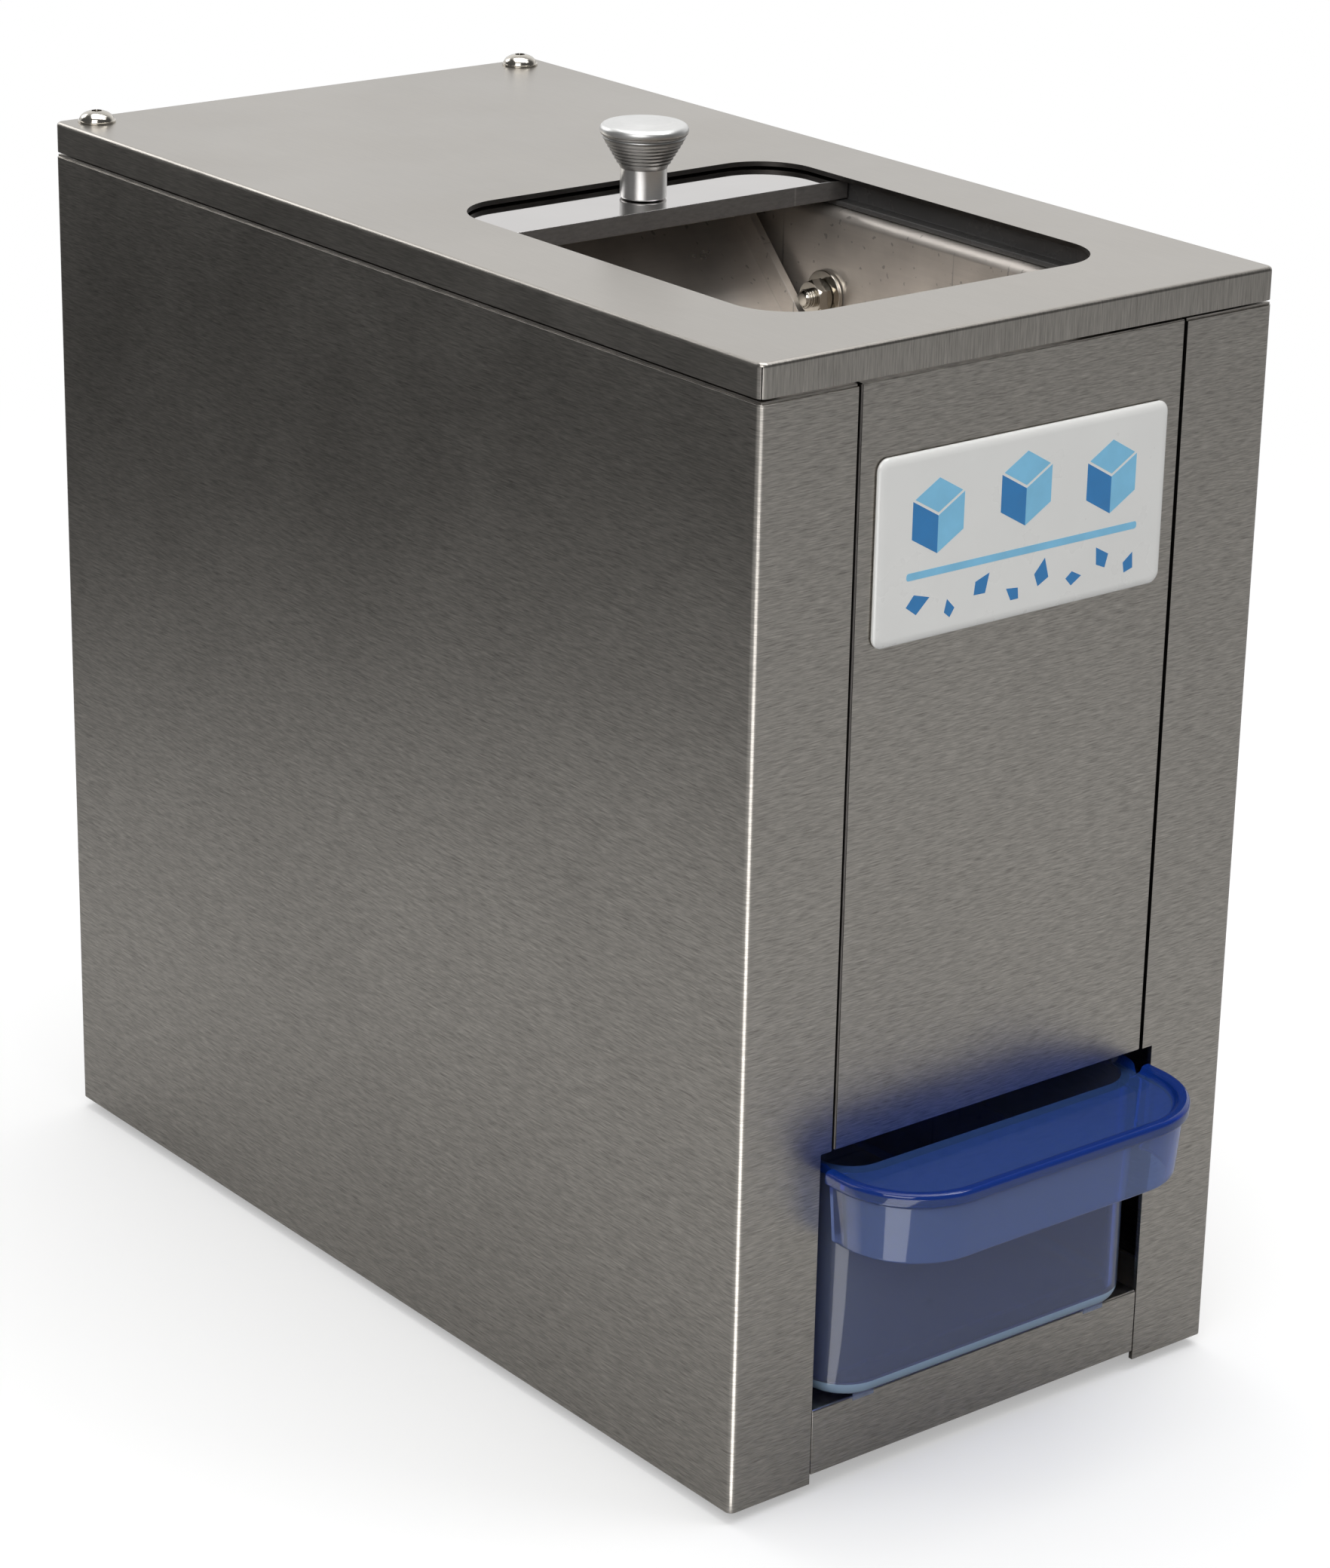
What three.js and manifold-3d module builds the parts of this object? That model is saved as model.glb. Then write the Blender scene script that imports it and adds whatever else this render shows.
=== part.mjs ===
// Countertop electric ice crusher.
// Millimetres, +Z up, front towards -Y, +X to the right of someone facing the front.
// Ice cubes go in under a sliding cover in the top, a toothed rotor breaks them through a
// grate, and the crushed ice drops into a clear blue drawer.

import * as THREE from 'three';
import { mergeVertices } from 'three/addons/utils/BufferGeometryUtils.js';
import Module from 'manifold-3d';

const wasm = await Module();
wasm.setup();

// ---------------------------------------------------------------- driving dimensions

// Casing. Heights are above the lower edge of the side panels.
const casingWidth = 190;
const casingDepth = 356;
const casingHeight = 341.5;
const sheet = 1.5;
const fit = 0.3; // gap left between touching pieces
const bendRadius = 1; // inside radius of a bend
const footDrop = 4; // rubber showing below the side panels
const footRadius = 12;
const footInset = 20; // foot centre from the sides
const footSetBack = 28; // and from the front and back
const baseHeight = 4; // underside of the base plate
const frontFace = -casingDepth / 2;
const backFace = casingDepth / 2;

// Top cover
const coverFlange = 8.5;
const coverGap = 2; // shadow gap between the cover's flange and the panels
const fillX = 2; // the fill opening sits a little to the right of the middle
const fillWidth = 127;
const fillLength = 155.5;
const fillFront = frontFace + 34.5;
const fillBack = fillFront + fillLength;
const fillRadius = 18.5;
const coverScrewX = casingWidth / 2 - 11;
const coverScrewY = backFace - 8;
const coverScrewHead = 6;
const coverScrewShank = 2.2;

// Sliding cover
const slideThickness = 6;
const slideLength = fillLength + 10.5;
const slideFront = fillBack - 30.5; // its front edge when it stands open
const slideSideLap = 5.3; // how far it reaches under the top cover on each side
const slidePlay = 0.4; // gap over the lower lip of the rails
const slideOverlap = 6; // the shut cover reaches this far past the front of the opening
const railLip = 1.7;
const railWall = 10.4;
const railBack = backFace - 18;
const knobFromEdge = 15;
const knobRim = 13.5;
const knobStem = 7;
const knobHeight = 23.5;

// Front
const frontPanelWidth = 120.8;
const stripGap = 0.6;
const drawerCutWidth = frontPanelWidth + 9.2;
const drawerCutTop = 106;
const sillTop = 24;
const sillBottom = 3;
const returnDepth = 12;
const badgeWidth = 108.2;
const badgeHeight = 54.2;
const badgeThickness = 1.6;
const badgeTop = casingHeight - 32.5;
const badgeRadius = 5;

// Drawer
const tubWidth = drawerCutWidth - 10;
const tubFront = frontFace - 4.5;
const tubBottom = sillTop + 1;
const tubWall = 2.5;
const tubRadius = 14;
const drawerTop = drawerCutTop - 5;
const shelfReach = 30; // how far the shelf stands out from the tub
const shelfHalfWidth = drawerCutWidth / 2 - 1;
const shelfRadius = 28;
const shelfDrop = 2; // shelf below its rim
const rimWidth = 4;
const skirtInset = 1.8; // skirt behind the rim
const skirtHeight = 22;

// Hopper
const hopperWidth = fillWidth - 3; // inside
const hopperFlange = 8; // turned out under the rails
const hopperFront = fillFront - 6.5; // inside face
const shoulderRise = 22; // the side walls close in over this height
const chuteFoot = hopperFront + 132; // the sloping rear wall turns down here
const chuteFootHeight = casingHeight - 59.5;
const chuteTopY = fillBack + 18;
const chuteFlange = 6;
const chuteSideGap = 3.5;
const boltY = chuteFoot;
const boltHeight = casingHeight - 38;
const boltRadius = 3;

// Crushing rotor
const axisHeight = 195;
const shaftRadius = 8;
const armCount = 4;
const armPitch = 30;
const armThickness = 8;
const armReach = 38;
const hubRadius = 14;
const armSwing = 7; // room past the ends of the arms
const grateThickness = 10;
const slotWidth = 16;

// Drive
const gearModule = 2;
const outputTeeth = 42;
const layPinionTeeth = 14;
const layGearTeeth = 44;
const motorPinionTeeth = 12;
const gearWidth = 11;
const boxWall = 4;
const boxClearance = 2.5; // gear tips to the gearbox wall
const layShaftRadius = 5;
const motorRadius = 44;
const motorLength = 70;
const motorShaftRadius = 5;
const statorBore = 24;
const airGap = 0.6;
const fanRadius = 38;
const fanDepth = 12;
const fanBlades = 8;

// Worked out from the above
const halfWidth = casingWidth / 2;
const halfDepth = casingDepth / 2;
const panelTop = casingHeight - coverFlange - coverGap;
const flangeLevel = panelTop - sheet / 2; // middle of the flanges at the panels' tops
const chamberTop = axisHeight + armReach + armSwing;
const hopperBottom = axisHeight - armReach - armSwing;
const chamberHalf = armReach + armSwing + 1;
const shoulderHeight = chamberTop + shoulderRise;
const grateTop = axisHeight - hubRadius - 1;
const slideTravel = slideFront - fillFront + slideOverlap;
const baseTop = baseHeight + sheet;
const innerWall = halfWidth - sheet; // inside face of a side panel
const bendClear = bendRadius; // keeps a square corner out of a round bend
const beyond = casingDepth; // a cut this long goes through every piece
const layHeight = axisHeight + (gearModule * (outputTeeth + layPinionTeeth)) / 2;
const tubHalf = tubWidth / 2;

// The gearbox has a round end over the lay shaft. The bulkhead in front of it stands back
// far enough for that end to clear the underside of the hopper's sloping wall.
const addendum = 0.85 * gearModule;
const cavityRadius = (gearModule * layGearTeeth) / 2 + addendum + boxClearance;
const boxTop = layHeight + cavityRadius + boxWall;
const slopeFootY = chuteFoot + sheet / 2;
const slopeRise = (flangeLevel - chuteFootHeight) / (chuteTopY - slopeFootY);
const slopeAt = (y) => chuteFootHeight + (y - slopeFootY) * slopeRise;
const slopeClear = 2.5;
const clearOfSlope = slopeFootY + (boxTop + slopeClear - chuteFootHeight) / slopeRise;
const bulkheadY = Math.max(fillBack + 10, clearOfSlope);
const tubBack = bulkheadY - 8;

// ---------------------------------------------------------------- solids and booleans

function solid(geometry) {
  geometry.deleteAttribute('normal');
  geometry.deleteAttribute('uv');
  const merged = mergeVertices(geometry);
  const triangles = [];
  const index = merged.index.array;
  for (let i = 0; i < index.length; i += 3) {
    const [a, b, c] = [index[i], index[i + 1], index[i + 2]];
    if (a !== b && b !== c && c !== a) triangles.push(a, b, c);
  }
  const vertProperties = new Float32Array(merged.attributes.position.array);
  return new wasm.Manifold(
    new wasm.Mesh({ numProp: 3, vertProperties, triVerts: new Uint32Array(triangles) }),
  );
}

function geometryOf(manifold) {
  const mesh = manifold.getMesh();
  const geometry = new THREE.BufferGeometry();
  geometry.setAttribute('position', new THREE.BufferAttribute(mesh.vertProperties, 3));
  geometry.setIndex(new THREE.BufferAttribute(mesh.triVerts, 1));
  geometry.computeVertexNormals();
  return geometry;
}

const join = (...parts) => parts.reduce((all, part) => all.add(part));
const cut = (body, ...tools) => tools.reduce((left, tool) => left.subtract(tool), body);

// A box from its lowest to its highest corner.
function box(x0, x1, y0, y1, z0, z1) {
  const geometry = new THREE.BoxGeometry(x1 - x0, y1 - y0, z1 - z0);
  geometry.translate((x0 + x1) / 2, (y0 + y1) / 2, (z0 + z1) / 2);
  return solid(geometry);
}

// A drawn outline pulled along one axis between two places on it.
function alongZ(shape, z0, z1, curveSegments = 6) {
  const options = { depth: z1 - z0, bevelEnabled: false, curveSegments };
  return solid(new THREE.ExtrudeGeometry(shape, options).translate(0, 0, z0));
}

// The outline is drawn in X and Z.
function alongY(shape, y0, y1, curveSegments = 6) {
  const options = { depth: y1 - y0, bevelEnabled: false, curveSegments };
  const geometry = new THREE.ExtrudeGeometry(shape, options).rotateX(Math.PI / 2);
  return solid(geometry.translate(0, y1, 0));
}

// The outline is drawn in Y and Z.
function alongX(shape, x0, x1, curveSegments = 6) {
  const options = { depth: x1 - x0, bevelEnabled: false, curveSegments };
  const turn = new THREE.Matrix4().makeBasis(
    new THREE.Vector3(0, 1, 0),
    new THREE.Vector3(0, 0, 1),
    new THREE.Vector3(1, 0, 0),
  );
  const geometry = new THREE.ExtrudeGeometry(shape, options).applyMatrix4(turn);
  return solid(geometry.translate(x0, 0, 0));
}

const outline = (points) => new THREE.Shape(points.map(([x, y]) => new THREE.Vector2(x, y)));

function roundedRect(x0, x1, y0, y1, radius) {
  const shape = new THREE.Shape();
  shape.moveTo(x0 + radius, y0);
  shape.lineTo(x1 - radius, y0);
  shape.absarc(x1 - radius, y0 + radius, radius, -Math.PI / 2, 0);
  shape.lineTo(x1, y1 - radius);
  shape.absarc(x1 - radius, y1 - radius, radius, 0, Math.PI / 2);
  shape.lineTo(x0 + radius, y1);
  shape.absarc(x0 + radius, y1 - radius, radius, Math.PI / 2, Math.PI);
  shape.lineTo(x0, y0 + radius);
  shape.absarc(x0 + radius, y0 + radius, radius, Math.PI, 1.5 * Math.PI);
  return shape;
}

// A solid of revolution about a line along Y (or Z) from [radius, place] pairs that run
// from low to high outside and back down inside.
function turnedY(profile, x, z, segments = 24) {
  const points = profile.map(([radius, place]) => new THREE.Vector2(radius, place));
  return solid(new THREE.LatheGeometry(points, segments).translate(x, 0, z));
}

function turnedZ(profile, x, y, segments = 24) {
  const points = profile.map(([radius, place]) => new THREE.Vector2(radius, place));
  const geometry = new THREE.LatheGeometry(points, segments).rotateX(Math.PI / 2);
  return solid(geometry.translate(x, y, 0));
}

function turnedX(profile, y, z, segments = 24) {
  const points = profile.map(([radius, place]) => new THREE.Vector2(radius, place));
  const geometry = new THREE.LatheGeometry(points, segments).rotateZ(-Math.PI / 2);
  return solid(geometry.translate(0, y, z));
}

// Closed profiles for turned pieces: a plain disc or rod, and a ring or tube.
const rod = (radius, from, to) => [[0, from], [radius, from], [radius, to], [0, to]];
const tube = (inner, outer, from, to) => [
  [inner, from], [outer, from], [outer, to], [inner, to], [inner, from],
];

// The outline of sheet metal that follows a path through the middle of its thickness,
// with a round bend at each inner point.
function bentSheet(path, thickness = sheet, inside = bendRadius) {
  const steps = 3;
  const radius = inside + thickness / 2;
  const middle = [];
  const at = path.map(([x, y]) => new THREE.Vector2(x, y));
  const leftOf = (way) => new THREE.Vector2(-way.y, way.x);
  const first = at[1].clone().sub(at[0]).normalize();
  middle.push([at[0], leftOf(first)]);
  for (let i = 1; i < at.length - 1; i += 1) {
    const before = at[i].clone().sub(at[i - 1]).normalize();
    const after = at[i + 1].clone().sub(at[i]).normalize();
    const turn = Math.atan2(before.cross(after), before.dot(after));
    const reach = radius * Math.tan(Math.abs(turn) / 2);
    const side = Math.sign(turn);
    const start = at[i].clone().addScaledVector(before, -reach);
    const centre = start.clone().addScaledVector(leftOf(before), side * radius);
    for (let k = 0; k <= steps; k += 1) {
      const spoke = leftOf(before).rotateAround(new THREE.Vector2(), (turn * k) / steps);
      middle.push([centre.clone().addScaledVector(spoke, -side * radius), spoke]);
    }
  }
  const last = at.at(-1).clone().sub(at.at(-2)).normalize();
  middle.push([at.at(-1), leftOf(last)]);
  const left = middle.map(([p, n]) => p.clone().addScaledVector(n, thickness / 2));
  const right = middle.map(([p, n]) => p.clone().addScaledVector(n, -thickness / 2));
  return new THREE.Shape([...right, ...left.reverse()]);
}

// A regular hexagon across the given flats, with its flats up and down.
function hexagon(flats, x = 0, y = 0) {
  const points = [];
  for (let i = 0; i < 6; i += 1) {
    const angle = (i * Math.PI) / 3;
    const radius = flats / 2 / Math.cos(Math.PI / 6);
    points.push([x + radius * Math.cos(angle), y + radius * Math.sin(angle)]);
  }
  return outline(points);
}

// ---------------------------------------------------------------- scene graph

const machine = new THREE.Group();
const core = new THREE.Group(); // everything centred under the fill opening
core.position.x = fillX;
machine.add(core);

const finishes = {
  brushedSteel: { color: 0x8f8b84, roughness: 0.38, metalness: 1 },
  darkSteel: { color: 0x6d6862, roughness: 0.35, metalness: 1 },
  mirrorSteel: { color: 0xd4cfcc, roughness: 0.05, metalness: 1 },
  satinAluminium: { color: 0xc9c8c6, roughness: 0.28, metalness: 1 },
  nickel: { color: 0xb9b2a3, roughness: 0.2, metalness: 1 },
  bronze: { color: 0xa97d3f, roughness: 0.4, metalness: 1 },
  castAluminium: { color: 0x9a9c9e, roughness: 0.6, metalness: 1 },
  paintedMotor: { color: 0x3c4044, roughness: 0.5, metalness: 0.2 },
  laminations: { color: 0x77706a, roughness: 0.6, metalness: 0.9 },
  blackPlastic: { color: 0x14120f, roughness: 0.55, metalness: 0 },
  greyPlastic: { color: 0xb9bcc0, roughness: 0.5, metalness: 0 },
  rubber: { color: 0x1c1c1c, roughness: 0.85, metalness: 0 },
  bluePlastic: { color: 0x1f3fae, roughness: 0.08, metalness: 0, transparent: true, opacity: 0.6 },
  badgeWhite: { color: 0xe9ebea, roughness: 0.12, metalness: 0 },
};

function piece(name, body, finish, parent = machine) {
  const mesh = new THREE.Mesh(geometryOf(body), new THREE.MeshStandardMaterial(finishes[finish]));
  mesh.name = name;
  parent.add(mesh);
  return mesh;
}

const sides = [['left', -1], ['right', 1]];

// ---------------------------------------------------------------- casing

// Each side panel is one sheet: back return, side, front strip and its inner return, with
// a flange turned in along the top.
const stripEdge = frontPanelWidth / 2 + stripGap;
// The panels' top flanges reach in under the rails, to just short of the hopper's.
const flangeEdge = fillX + hopperWidth / 2 + hopperFlange + 1;
const backReturn = 15;

for (const [side, sign] of sides) {
  const middle = sheet / 2;
  const wrap = bentSheet([
    [sign * (halfWidth - backReturn), halfDepth - middle],
    [sign * (halfWidth - middle), halfDepth - middle],
    [sign * (halfWidth - middle), -halfDepth + middle],
    [sign * (stripEdge + middle), -halfDepth + middle],
    [sign * (stripEdge + middle), -halfDepth + returnDepth],
  ]);
  const flange = box(
    ...[sign * flangeEdge, sign * (halfWidth - middle)].sort((a, b) => a - b),
    -halfDepth + middle, halfDepth - middle, panelTop - sheet, panelTop,
  );
  const drawerCut = box(
    ...[sign * (stripEdge - 5), sign * (drawerCutWidth / 2)].sort((a, b) => a - b),
    -halfDepth - 5, -halfDepth + returnDepth + 5, -1, drawerCutTop,
  );
  const screwHole = turnedZ(
    rod(coverScrewShank + fit, panelTop - 5, panelTop + 5), sign * coverScrewX, coverScrewY, 12,
  );
  const panel = cut(join(alongZ(wrap, 0, panelTop - sheet / 2), flange), drawerCut, screwHole);
  piece(`side_panel_${side}`, panel, 'brushedSteel');
}

// The front panel fills the space between the strips above the drawer.
{
  const edge = frontPanelWidth / 2 - sheet / 2;
  const face = -halfDepth + sheet / 2;
  const section = bentSheet([
    [-edge, -halfDepth + returnDepth], [-edge, face], [edge, face],
    [edge, -halfDepth + returnDepth],
  ]);
  const inner = edge - sheet;
  const topFlange = box(-inner, inner, face, -halfDepth + returnDepth, panelTop - sheet, panelTop);
  const bottomFlange = box(
    -inner, inner, face, -halfDepth + returnDepth, drawerCutTop, drawerCutTop + sheet,
  );
  const panel = join(alongZ(section, drawerCutTop, panelTop), topFlange, bottomFlange);
  piece('front_panel', panel, 'brushedSteel');
}

// The sill under the drawer, folded back along its top.
{
  const face = -halfDepth + sheet / 2;
  const fold = sillTop - sheet / 2;
  const section = bentSheet([[face, sillBottom], [face, fold], [-halfDepth + returnDepth, fold]]);
  const half = drawerCutWidth / 2 - fit;
  piece('front_sill', alongX(section, -half, half), 'brushedSteel');
}

// The badge is a thick white label with its corners rounded.
{
  const plate = roundedRect(
    -badgeWidth / 2, badgeWidth / 2, badgeTop - badgeHeight, badgeTop, badgeRadius,
  );
  const back = -halfDepth - fit;
  piece('badge', alongY(plate, back - badgeThickness, back), 'badgeWhite');
}

// The base plate is a tray with its long edges turned up.
{
  const edge = innerWall - bendClear - sheet / 2;
  const level = baseHeight + sheet / 2;
  const rise = 16;
  const section = bentSheet([[-edge, rise], [-edge, level], [edge, level], [edge, rise]]);
  const front = -halfDepth + sheet + fit;
  const back = halfDepth - 2 * sheet - 2 * fit;
  const slots = [];
  for (let i = 0; i < 5; i += 1) {
    const y = bulkheadY + 58 + i * 14;
    slots.push(alongZ(roundedRect(-25, 25, y, y + 5, 2), baseHeight - 1, baseTop + 1, 1));
  }
  piece('base_plate', cut(alongY(section, front, back), ...slots), 'darkSteel');
}

// The rear panel sits inside the back returns. Its slots let the motor's fan blow out.
const inletX = 48;
const inletHeight = 42;
const inletBody = [31, 24];
const rearFace = halfDepth - sheet - fit;
const rearScrewX = halfWidth - backReturn / 2;
const rearScrewHeights = [24, panelTop - 24];
{
  const edge = innerWall - bendClear;
  const plate = box(-edge, edge, rearFace - sheet, rearFace, baseHeight, panelTop - sheet - fit);
  const lip = box(
    -flangeEdge + fit, flangeEdge - fit, rearFace - returnDepth, rearFace,
    panelTop - sheet, panelTop,
  );
  const neck = box(
    -flangeEdge + fit, flangeEdge - fit, rearFace - sheet, rearFace,
    panelTop - sheet - 2, panelTop,
  );
  const vents = [];
  for (let row = 0; row < 8; row += 1) {
    const z = axisHeight - 42 + row * 11;
    for (const x of [-40, 4]) {
      vents.push(
        alongY(roundedRect(x, x + 36, z, z + 5, 2), rearFace - 5, rearFace + 5, 1),
      );
    }
  }
  const [w, h] = inletBody;
  const inletHole = box(
    inletX - w / 2 - fit, inletX + w / 2 + fit, rearFace - 5, rearFace + 5,
    inletHeight - h / 2 - fit, inletHeight + h / 2 + fit,
  );
  const screwHoles = [];
  for (const [, sign] of sides) {
    for (const z of rearScrewHeights) {
      const hole = rod(coverScrewShank, rearFace - 5, rearFace + 5);
      screwHoles.push(turnedY(hole, sign * rearScrewX, z, 8));
    }
  }
  const panel = cut(join(plate, neck, lip), ...vents, inletHole, ...screwHoles);
  piece('rear_panel', panel, 'brushedSteel');
}

// Mains inlet with three flat pins in its socket.
{
  const [w, h] = inletBody;
  const socket = [24, 16];
  const depth = 25;
  const front = halfDepth - sheet + fit;
  const flange = alongY(
    roundedRect(inletX - 24, inletX + 24, inletHeight - 15, inletHeight + 15, 4),
    rearFace + fit, front + 4,
  );
  const body = box(
    inletX - w / 2, inletX + w / 2, rearFace - depth, rearFace + 1,
    inletHeight - h / 2, inletHeight + h / 2,
  );
  const recess = box(
    inletX - socket[0] / 2, inletX + socket[0] / 2, rearFace - depth + 6, front + 5,
    inletHeight - socket[1] / 2, inletHeight + socket[1] / 2,
  );
  const pins = [[-7, -2], [0, 2], [7, -2]].map(([x, z]) => box(
    inletX + x - 1, inletX + x + 1, rearFace - depth + 5, rearFace - 6,
    inletHeight + z - 2, inletHeight + z + 2,
  ));
  piece('mains_inlet', join(cut(join(flange, body), recess), ...pins), 'blackPlastic');
}

// Rubber feet, hollow underneath round their screws.
const footPlaces = [];
for (const [side, sign] of sides) {
  for (const [end, way] of [['front', -1], ['rear', 1]]) {
    footPlaces.push([
      `foot_${end}_${side}`, sign * (halfWidth - footInset), way * (halfDepth - footSetBack),
    ]);
  }
}
for (const [name, x, y] of footPlaces) {
  const top = baseHeight - fit;
  const profile = [
    [4, -footDrop], [footRadius - 2, -footDrop], [footRadius, -footDrop + 2],
    [footRadius, top], [0, top], [0, -footDrop + 4], [4, -footDrop + 4], [4, -footDrop],
  ];
  piece(name, turnedZ(profile, x, y, 24), 'rubber');
}

// ---------------------------------------------------------------- top cover

const fillLeft = fillX - fillWidth / 2;
const fillRight = fillX + fillWidth / 2;
const coverUnder = casingHeight - sheet;
{
  const outer = box(
    -halfWidth, halfWidth, -halfDepth, halfDepth, casingHeight - coverFlange, casingHeight,
  );
  const inner = box(
    -innerWall, innerWall, -halfDepth + sheet, halfDepth - sheet,
    casingHeight - coverFlange - 1, coverUnder,
  );
  const opening = alongZ(
    roundedRect(fillLeft, fillRight, fillFront, fillBack, fillRadius),
    coverUnder - 5, casingHeight + 5,
  );
  const holes = sides.map(([, sign]) => turnedZ(
    rod(coverScrewShank + fit, coverUnder - 5, casingHeight + 5),
    sign * coverScrewX, coverScrewY, 12,
  ));
  piece('top_cover', cut(outer, inner, opening, ...holes), 'brushedSteel');
}

// Domed screws with a hexagon socket.
const headHeight = 3.6;
function domedScrew(shank, head, tip, seat) {
  const crown = [[0, tip], [shank, tip], [shank, seat], [head - 0.6, seat], [head, seat + 0.7]];
  const steps = 4;
  for (let i = 1; i <= steps; i += 1) {
    const angle = (i / steps) * (Math.PI / 2);
    crown.push([head * Math.cos(angle), seat + 0.7 + (headHeight - 0.7) * Math.sin(angle)]);
  }
  crown[crown.length - 1][0] = 0;
  return crown;
}
for (const [side, sign] of sides) {
  const seat = casingHeight + fit;
  const profile = domedScrew(coverScrewShank, coverScrewHead, panelTop - 9, seat);
  const socket = alongZ(hexagon(3.4, sign * coverScrewX, coverScrewY), seat + 1.4, seat + 9);
  const screw = cut(turnedZ(profile, sign * coverScrewX, coverScrewY, 24), socket);
  piece(`cover_screw_${side}`, screw, 'nickel');
}

// ---------------------------------------------------------------- sliding cover

const railHeight = coverUnder - fit;
const slideBottom = panelTop + fit + railLip + slidePlay;
const slideTop = slideBottom + slideThickness;
const slideHalf = fillWidth / 2 + slideSideLap;

for (const [side, sign] of sides) {
  const wall = slideHalf + 2 * slidePlay;
  const lipEdge = fillWidth / 2 + 1.7;
  const section = outline([
    [sign * lipEdge, panelTop + fit], [sign * (wall + railWall), panelTop + fit],
    [sign * (wall + railWall), railHeight], [sign * wall, railHeight],
    [sign * wall, panelTop + fit + railLip], [sign * lipEdge, panelTop + fit + railLip],
  ]);
  piece(`slide_rail_${side}`, alongY(section, fillFront - 9, railBack), 'blackPlastic', core);
}

// The cover is a polished tray, open underneath, with its knob near the front edge.
const knobY = slideFront + knobFromEdge;
const knobScrewRadius = 2.5;
{
  const back = slideFront + slideLength;
  const tray = box(-slideHalf, slideHalf, slideFront, back, slideBottom, slideTop);
  const hollow = box(
    -slideHalf + sheet, slideHalf - sheet, slideFront + sheet, back - sheet,
    slideBottom - 1, slideTop - sheet,
  );
  const hole = turnedZ(rod(knobScrewRadius + fit, slideBottom, slideTop + 1), 0, knobY, 16);
  piece('slide_cover', cut(tray, hollow, hole), 'mirrorSteel', core);
}

// Trumpet-shaped knob with fine rings round its flare.
{
  const seat = slideTop + fit;
  const top = seat + knobHeight;
  const neck = seat + 10.5;
  const flareTop = top - 3.4;
  const profile = [[knobScrewRadius, seat], [knobStem, seat], [knobStem - 0.2, neck]];
  const steps = 10;
  for (let i = 1; i <= steps; i += 1) {
    const t = i / steps;
    const ring = i % 2 === 0 ? 0.25 : 0;
    profile.push([knobStem - 0.2 + (knobRim - knobStem - 0.4) * t ** 1.25 - ring,
      neck + (flareTop - neck) * t]);
  }
  profile.push([knobRim, flareTop + 1], [knobRim - 0.3, flareTop + 2.2],
    [knobRim - 1.6, top - 0.5], [knobRim - 4, top], [0, top],
    [0, seat + 9], [knobScrewRadius, seat + 9], [knobScrewRadius, seat]);
  piece('slide_knob', turnedZ(profile, 0, knobY, 24), 'satinAluminium', core);
  const head = slideTop - sheet - fit;
  const screw = [[0, head - 2.4], [4.6, head - 2.4], [4.6, head],
    [knobScrewRadius - fit, head], [knobScrewRadius - fit, seat + 8.5], [0, seat + 8.5]];
  piece('knob_screw', turnedZ(screw, 0, knobY, 16), 'nickel', core);
}

// Safety switch that the shut cover presses.
const plungerTravel = 2.5;
const plungerRadius = 2;
const plungerTip = slideFront - slideTravel - slidePlay;
{
  const [x0, x1] = [36, 56];
  const front = -halfDepth + 7;
  const back = hopperFront - 6;
  const z = (panelTop + fit + railHeight) / 2;
  const x = (x0 + x1) / 2;
  const bore = turnedY(rod(plungerRadius + fit, front + 3, back + 1), x, z, 16);
  const body = box(x0, x1, front, back, panelTop + fit, railHeight);
  piece('lid_switch', cut(body, bore), 'blackPlastic', core);
  const start = front + 3 + plungerTravel + fit;
  piece('switch_plunger', turnedY(rod(plungerRadius, start, plungerTip), x, z, 16),
    'greyPlastic', core);
}

// ---------------------------------------------------------------- hopper

const hopperHalf = hopperWidth / 2;
const hopperSkin = sheet / 2;

// Side walls: flange under the rail, straight drop, shoulder, and chamber wall.
for (const [side, sign] of sides) {
  const section = bentSheet([
    [sign * (hopperHalf + hopperFlange), flangeLevel], [sign * (hopperHalf + hopperSkin), flangeLevel],
    [sign * (hopperHalf + hopperSkin), shoulderHeight],
    [sign * (chamberHalf + hopperSkin), chamberTop],
    [sign * (chamberHalf + hopperSkin), hopperBottom],
  ], sheet, 2);
  const wall = alongY(section, hopperFront + fit, bulkheadY - fit);
  const behind = outline([
    [chuteFoot + sheet, 0], [bulkheadY + 9, 0], [bulkheadY + 9, chuteFootHeight + 20],
    [chuteFoot + sheet, chuteFootHeight - 18],
  ]);
  const boltHole = turnedX(rod(boltRadius + fit, -beyond, beyond), boltY, boltHeight, 16);
  const body = cut(wall, alongX(behind, -beyond, beyond), boltHole);
  piece(`hopper_wall_${side}`, body, 'darkSteel', core);
}

// Front wall, with the hole for the front bearing.
const bushRadius = 11;
const shaftHole = turnedY(rod(bushRadius + fit, -beyond, beyond), 0, axisHeight, 24);
{
  const y = hopperFront - sheet / 2;
  const section = bentSheet([[y - 11, flangeLevel], [y, flangeLevel], [y, hopperBottom]]);
  const half = hopperHalf - 0.5;
  const upper = alongX(section, -half, half);
  const corners = sides.map(([, sign]) => box(
    ...[sign * (chamberHalf + sheet), sign * (hopperHalf + 5)].sort((a, b) => a - b),
    y - 20, y + 5, hopperBottom - 1, chamberTop - 4,
  ));
  piece('hopper_front_wall', cut(upper, ...corners, shaftHole), 'darkSteel', core);
}

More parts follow.
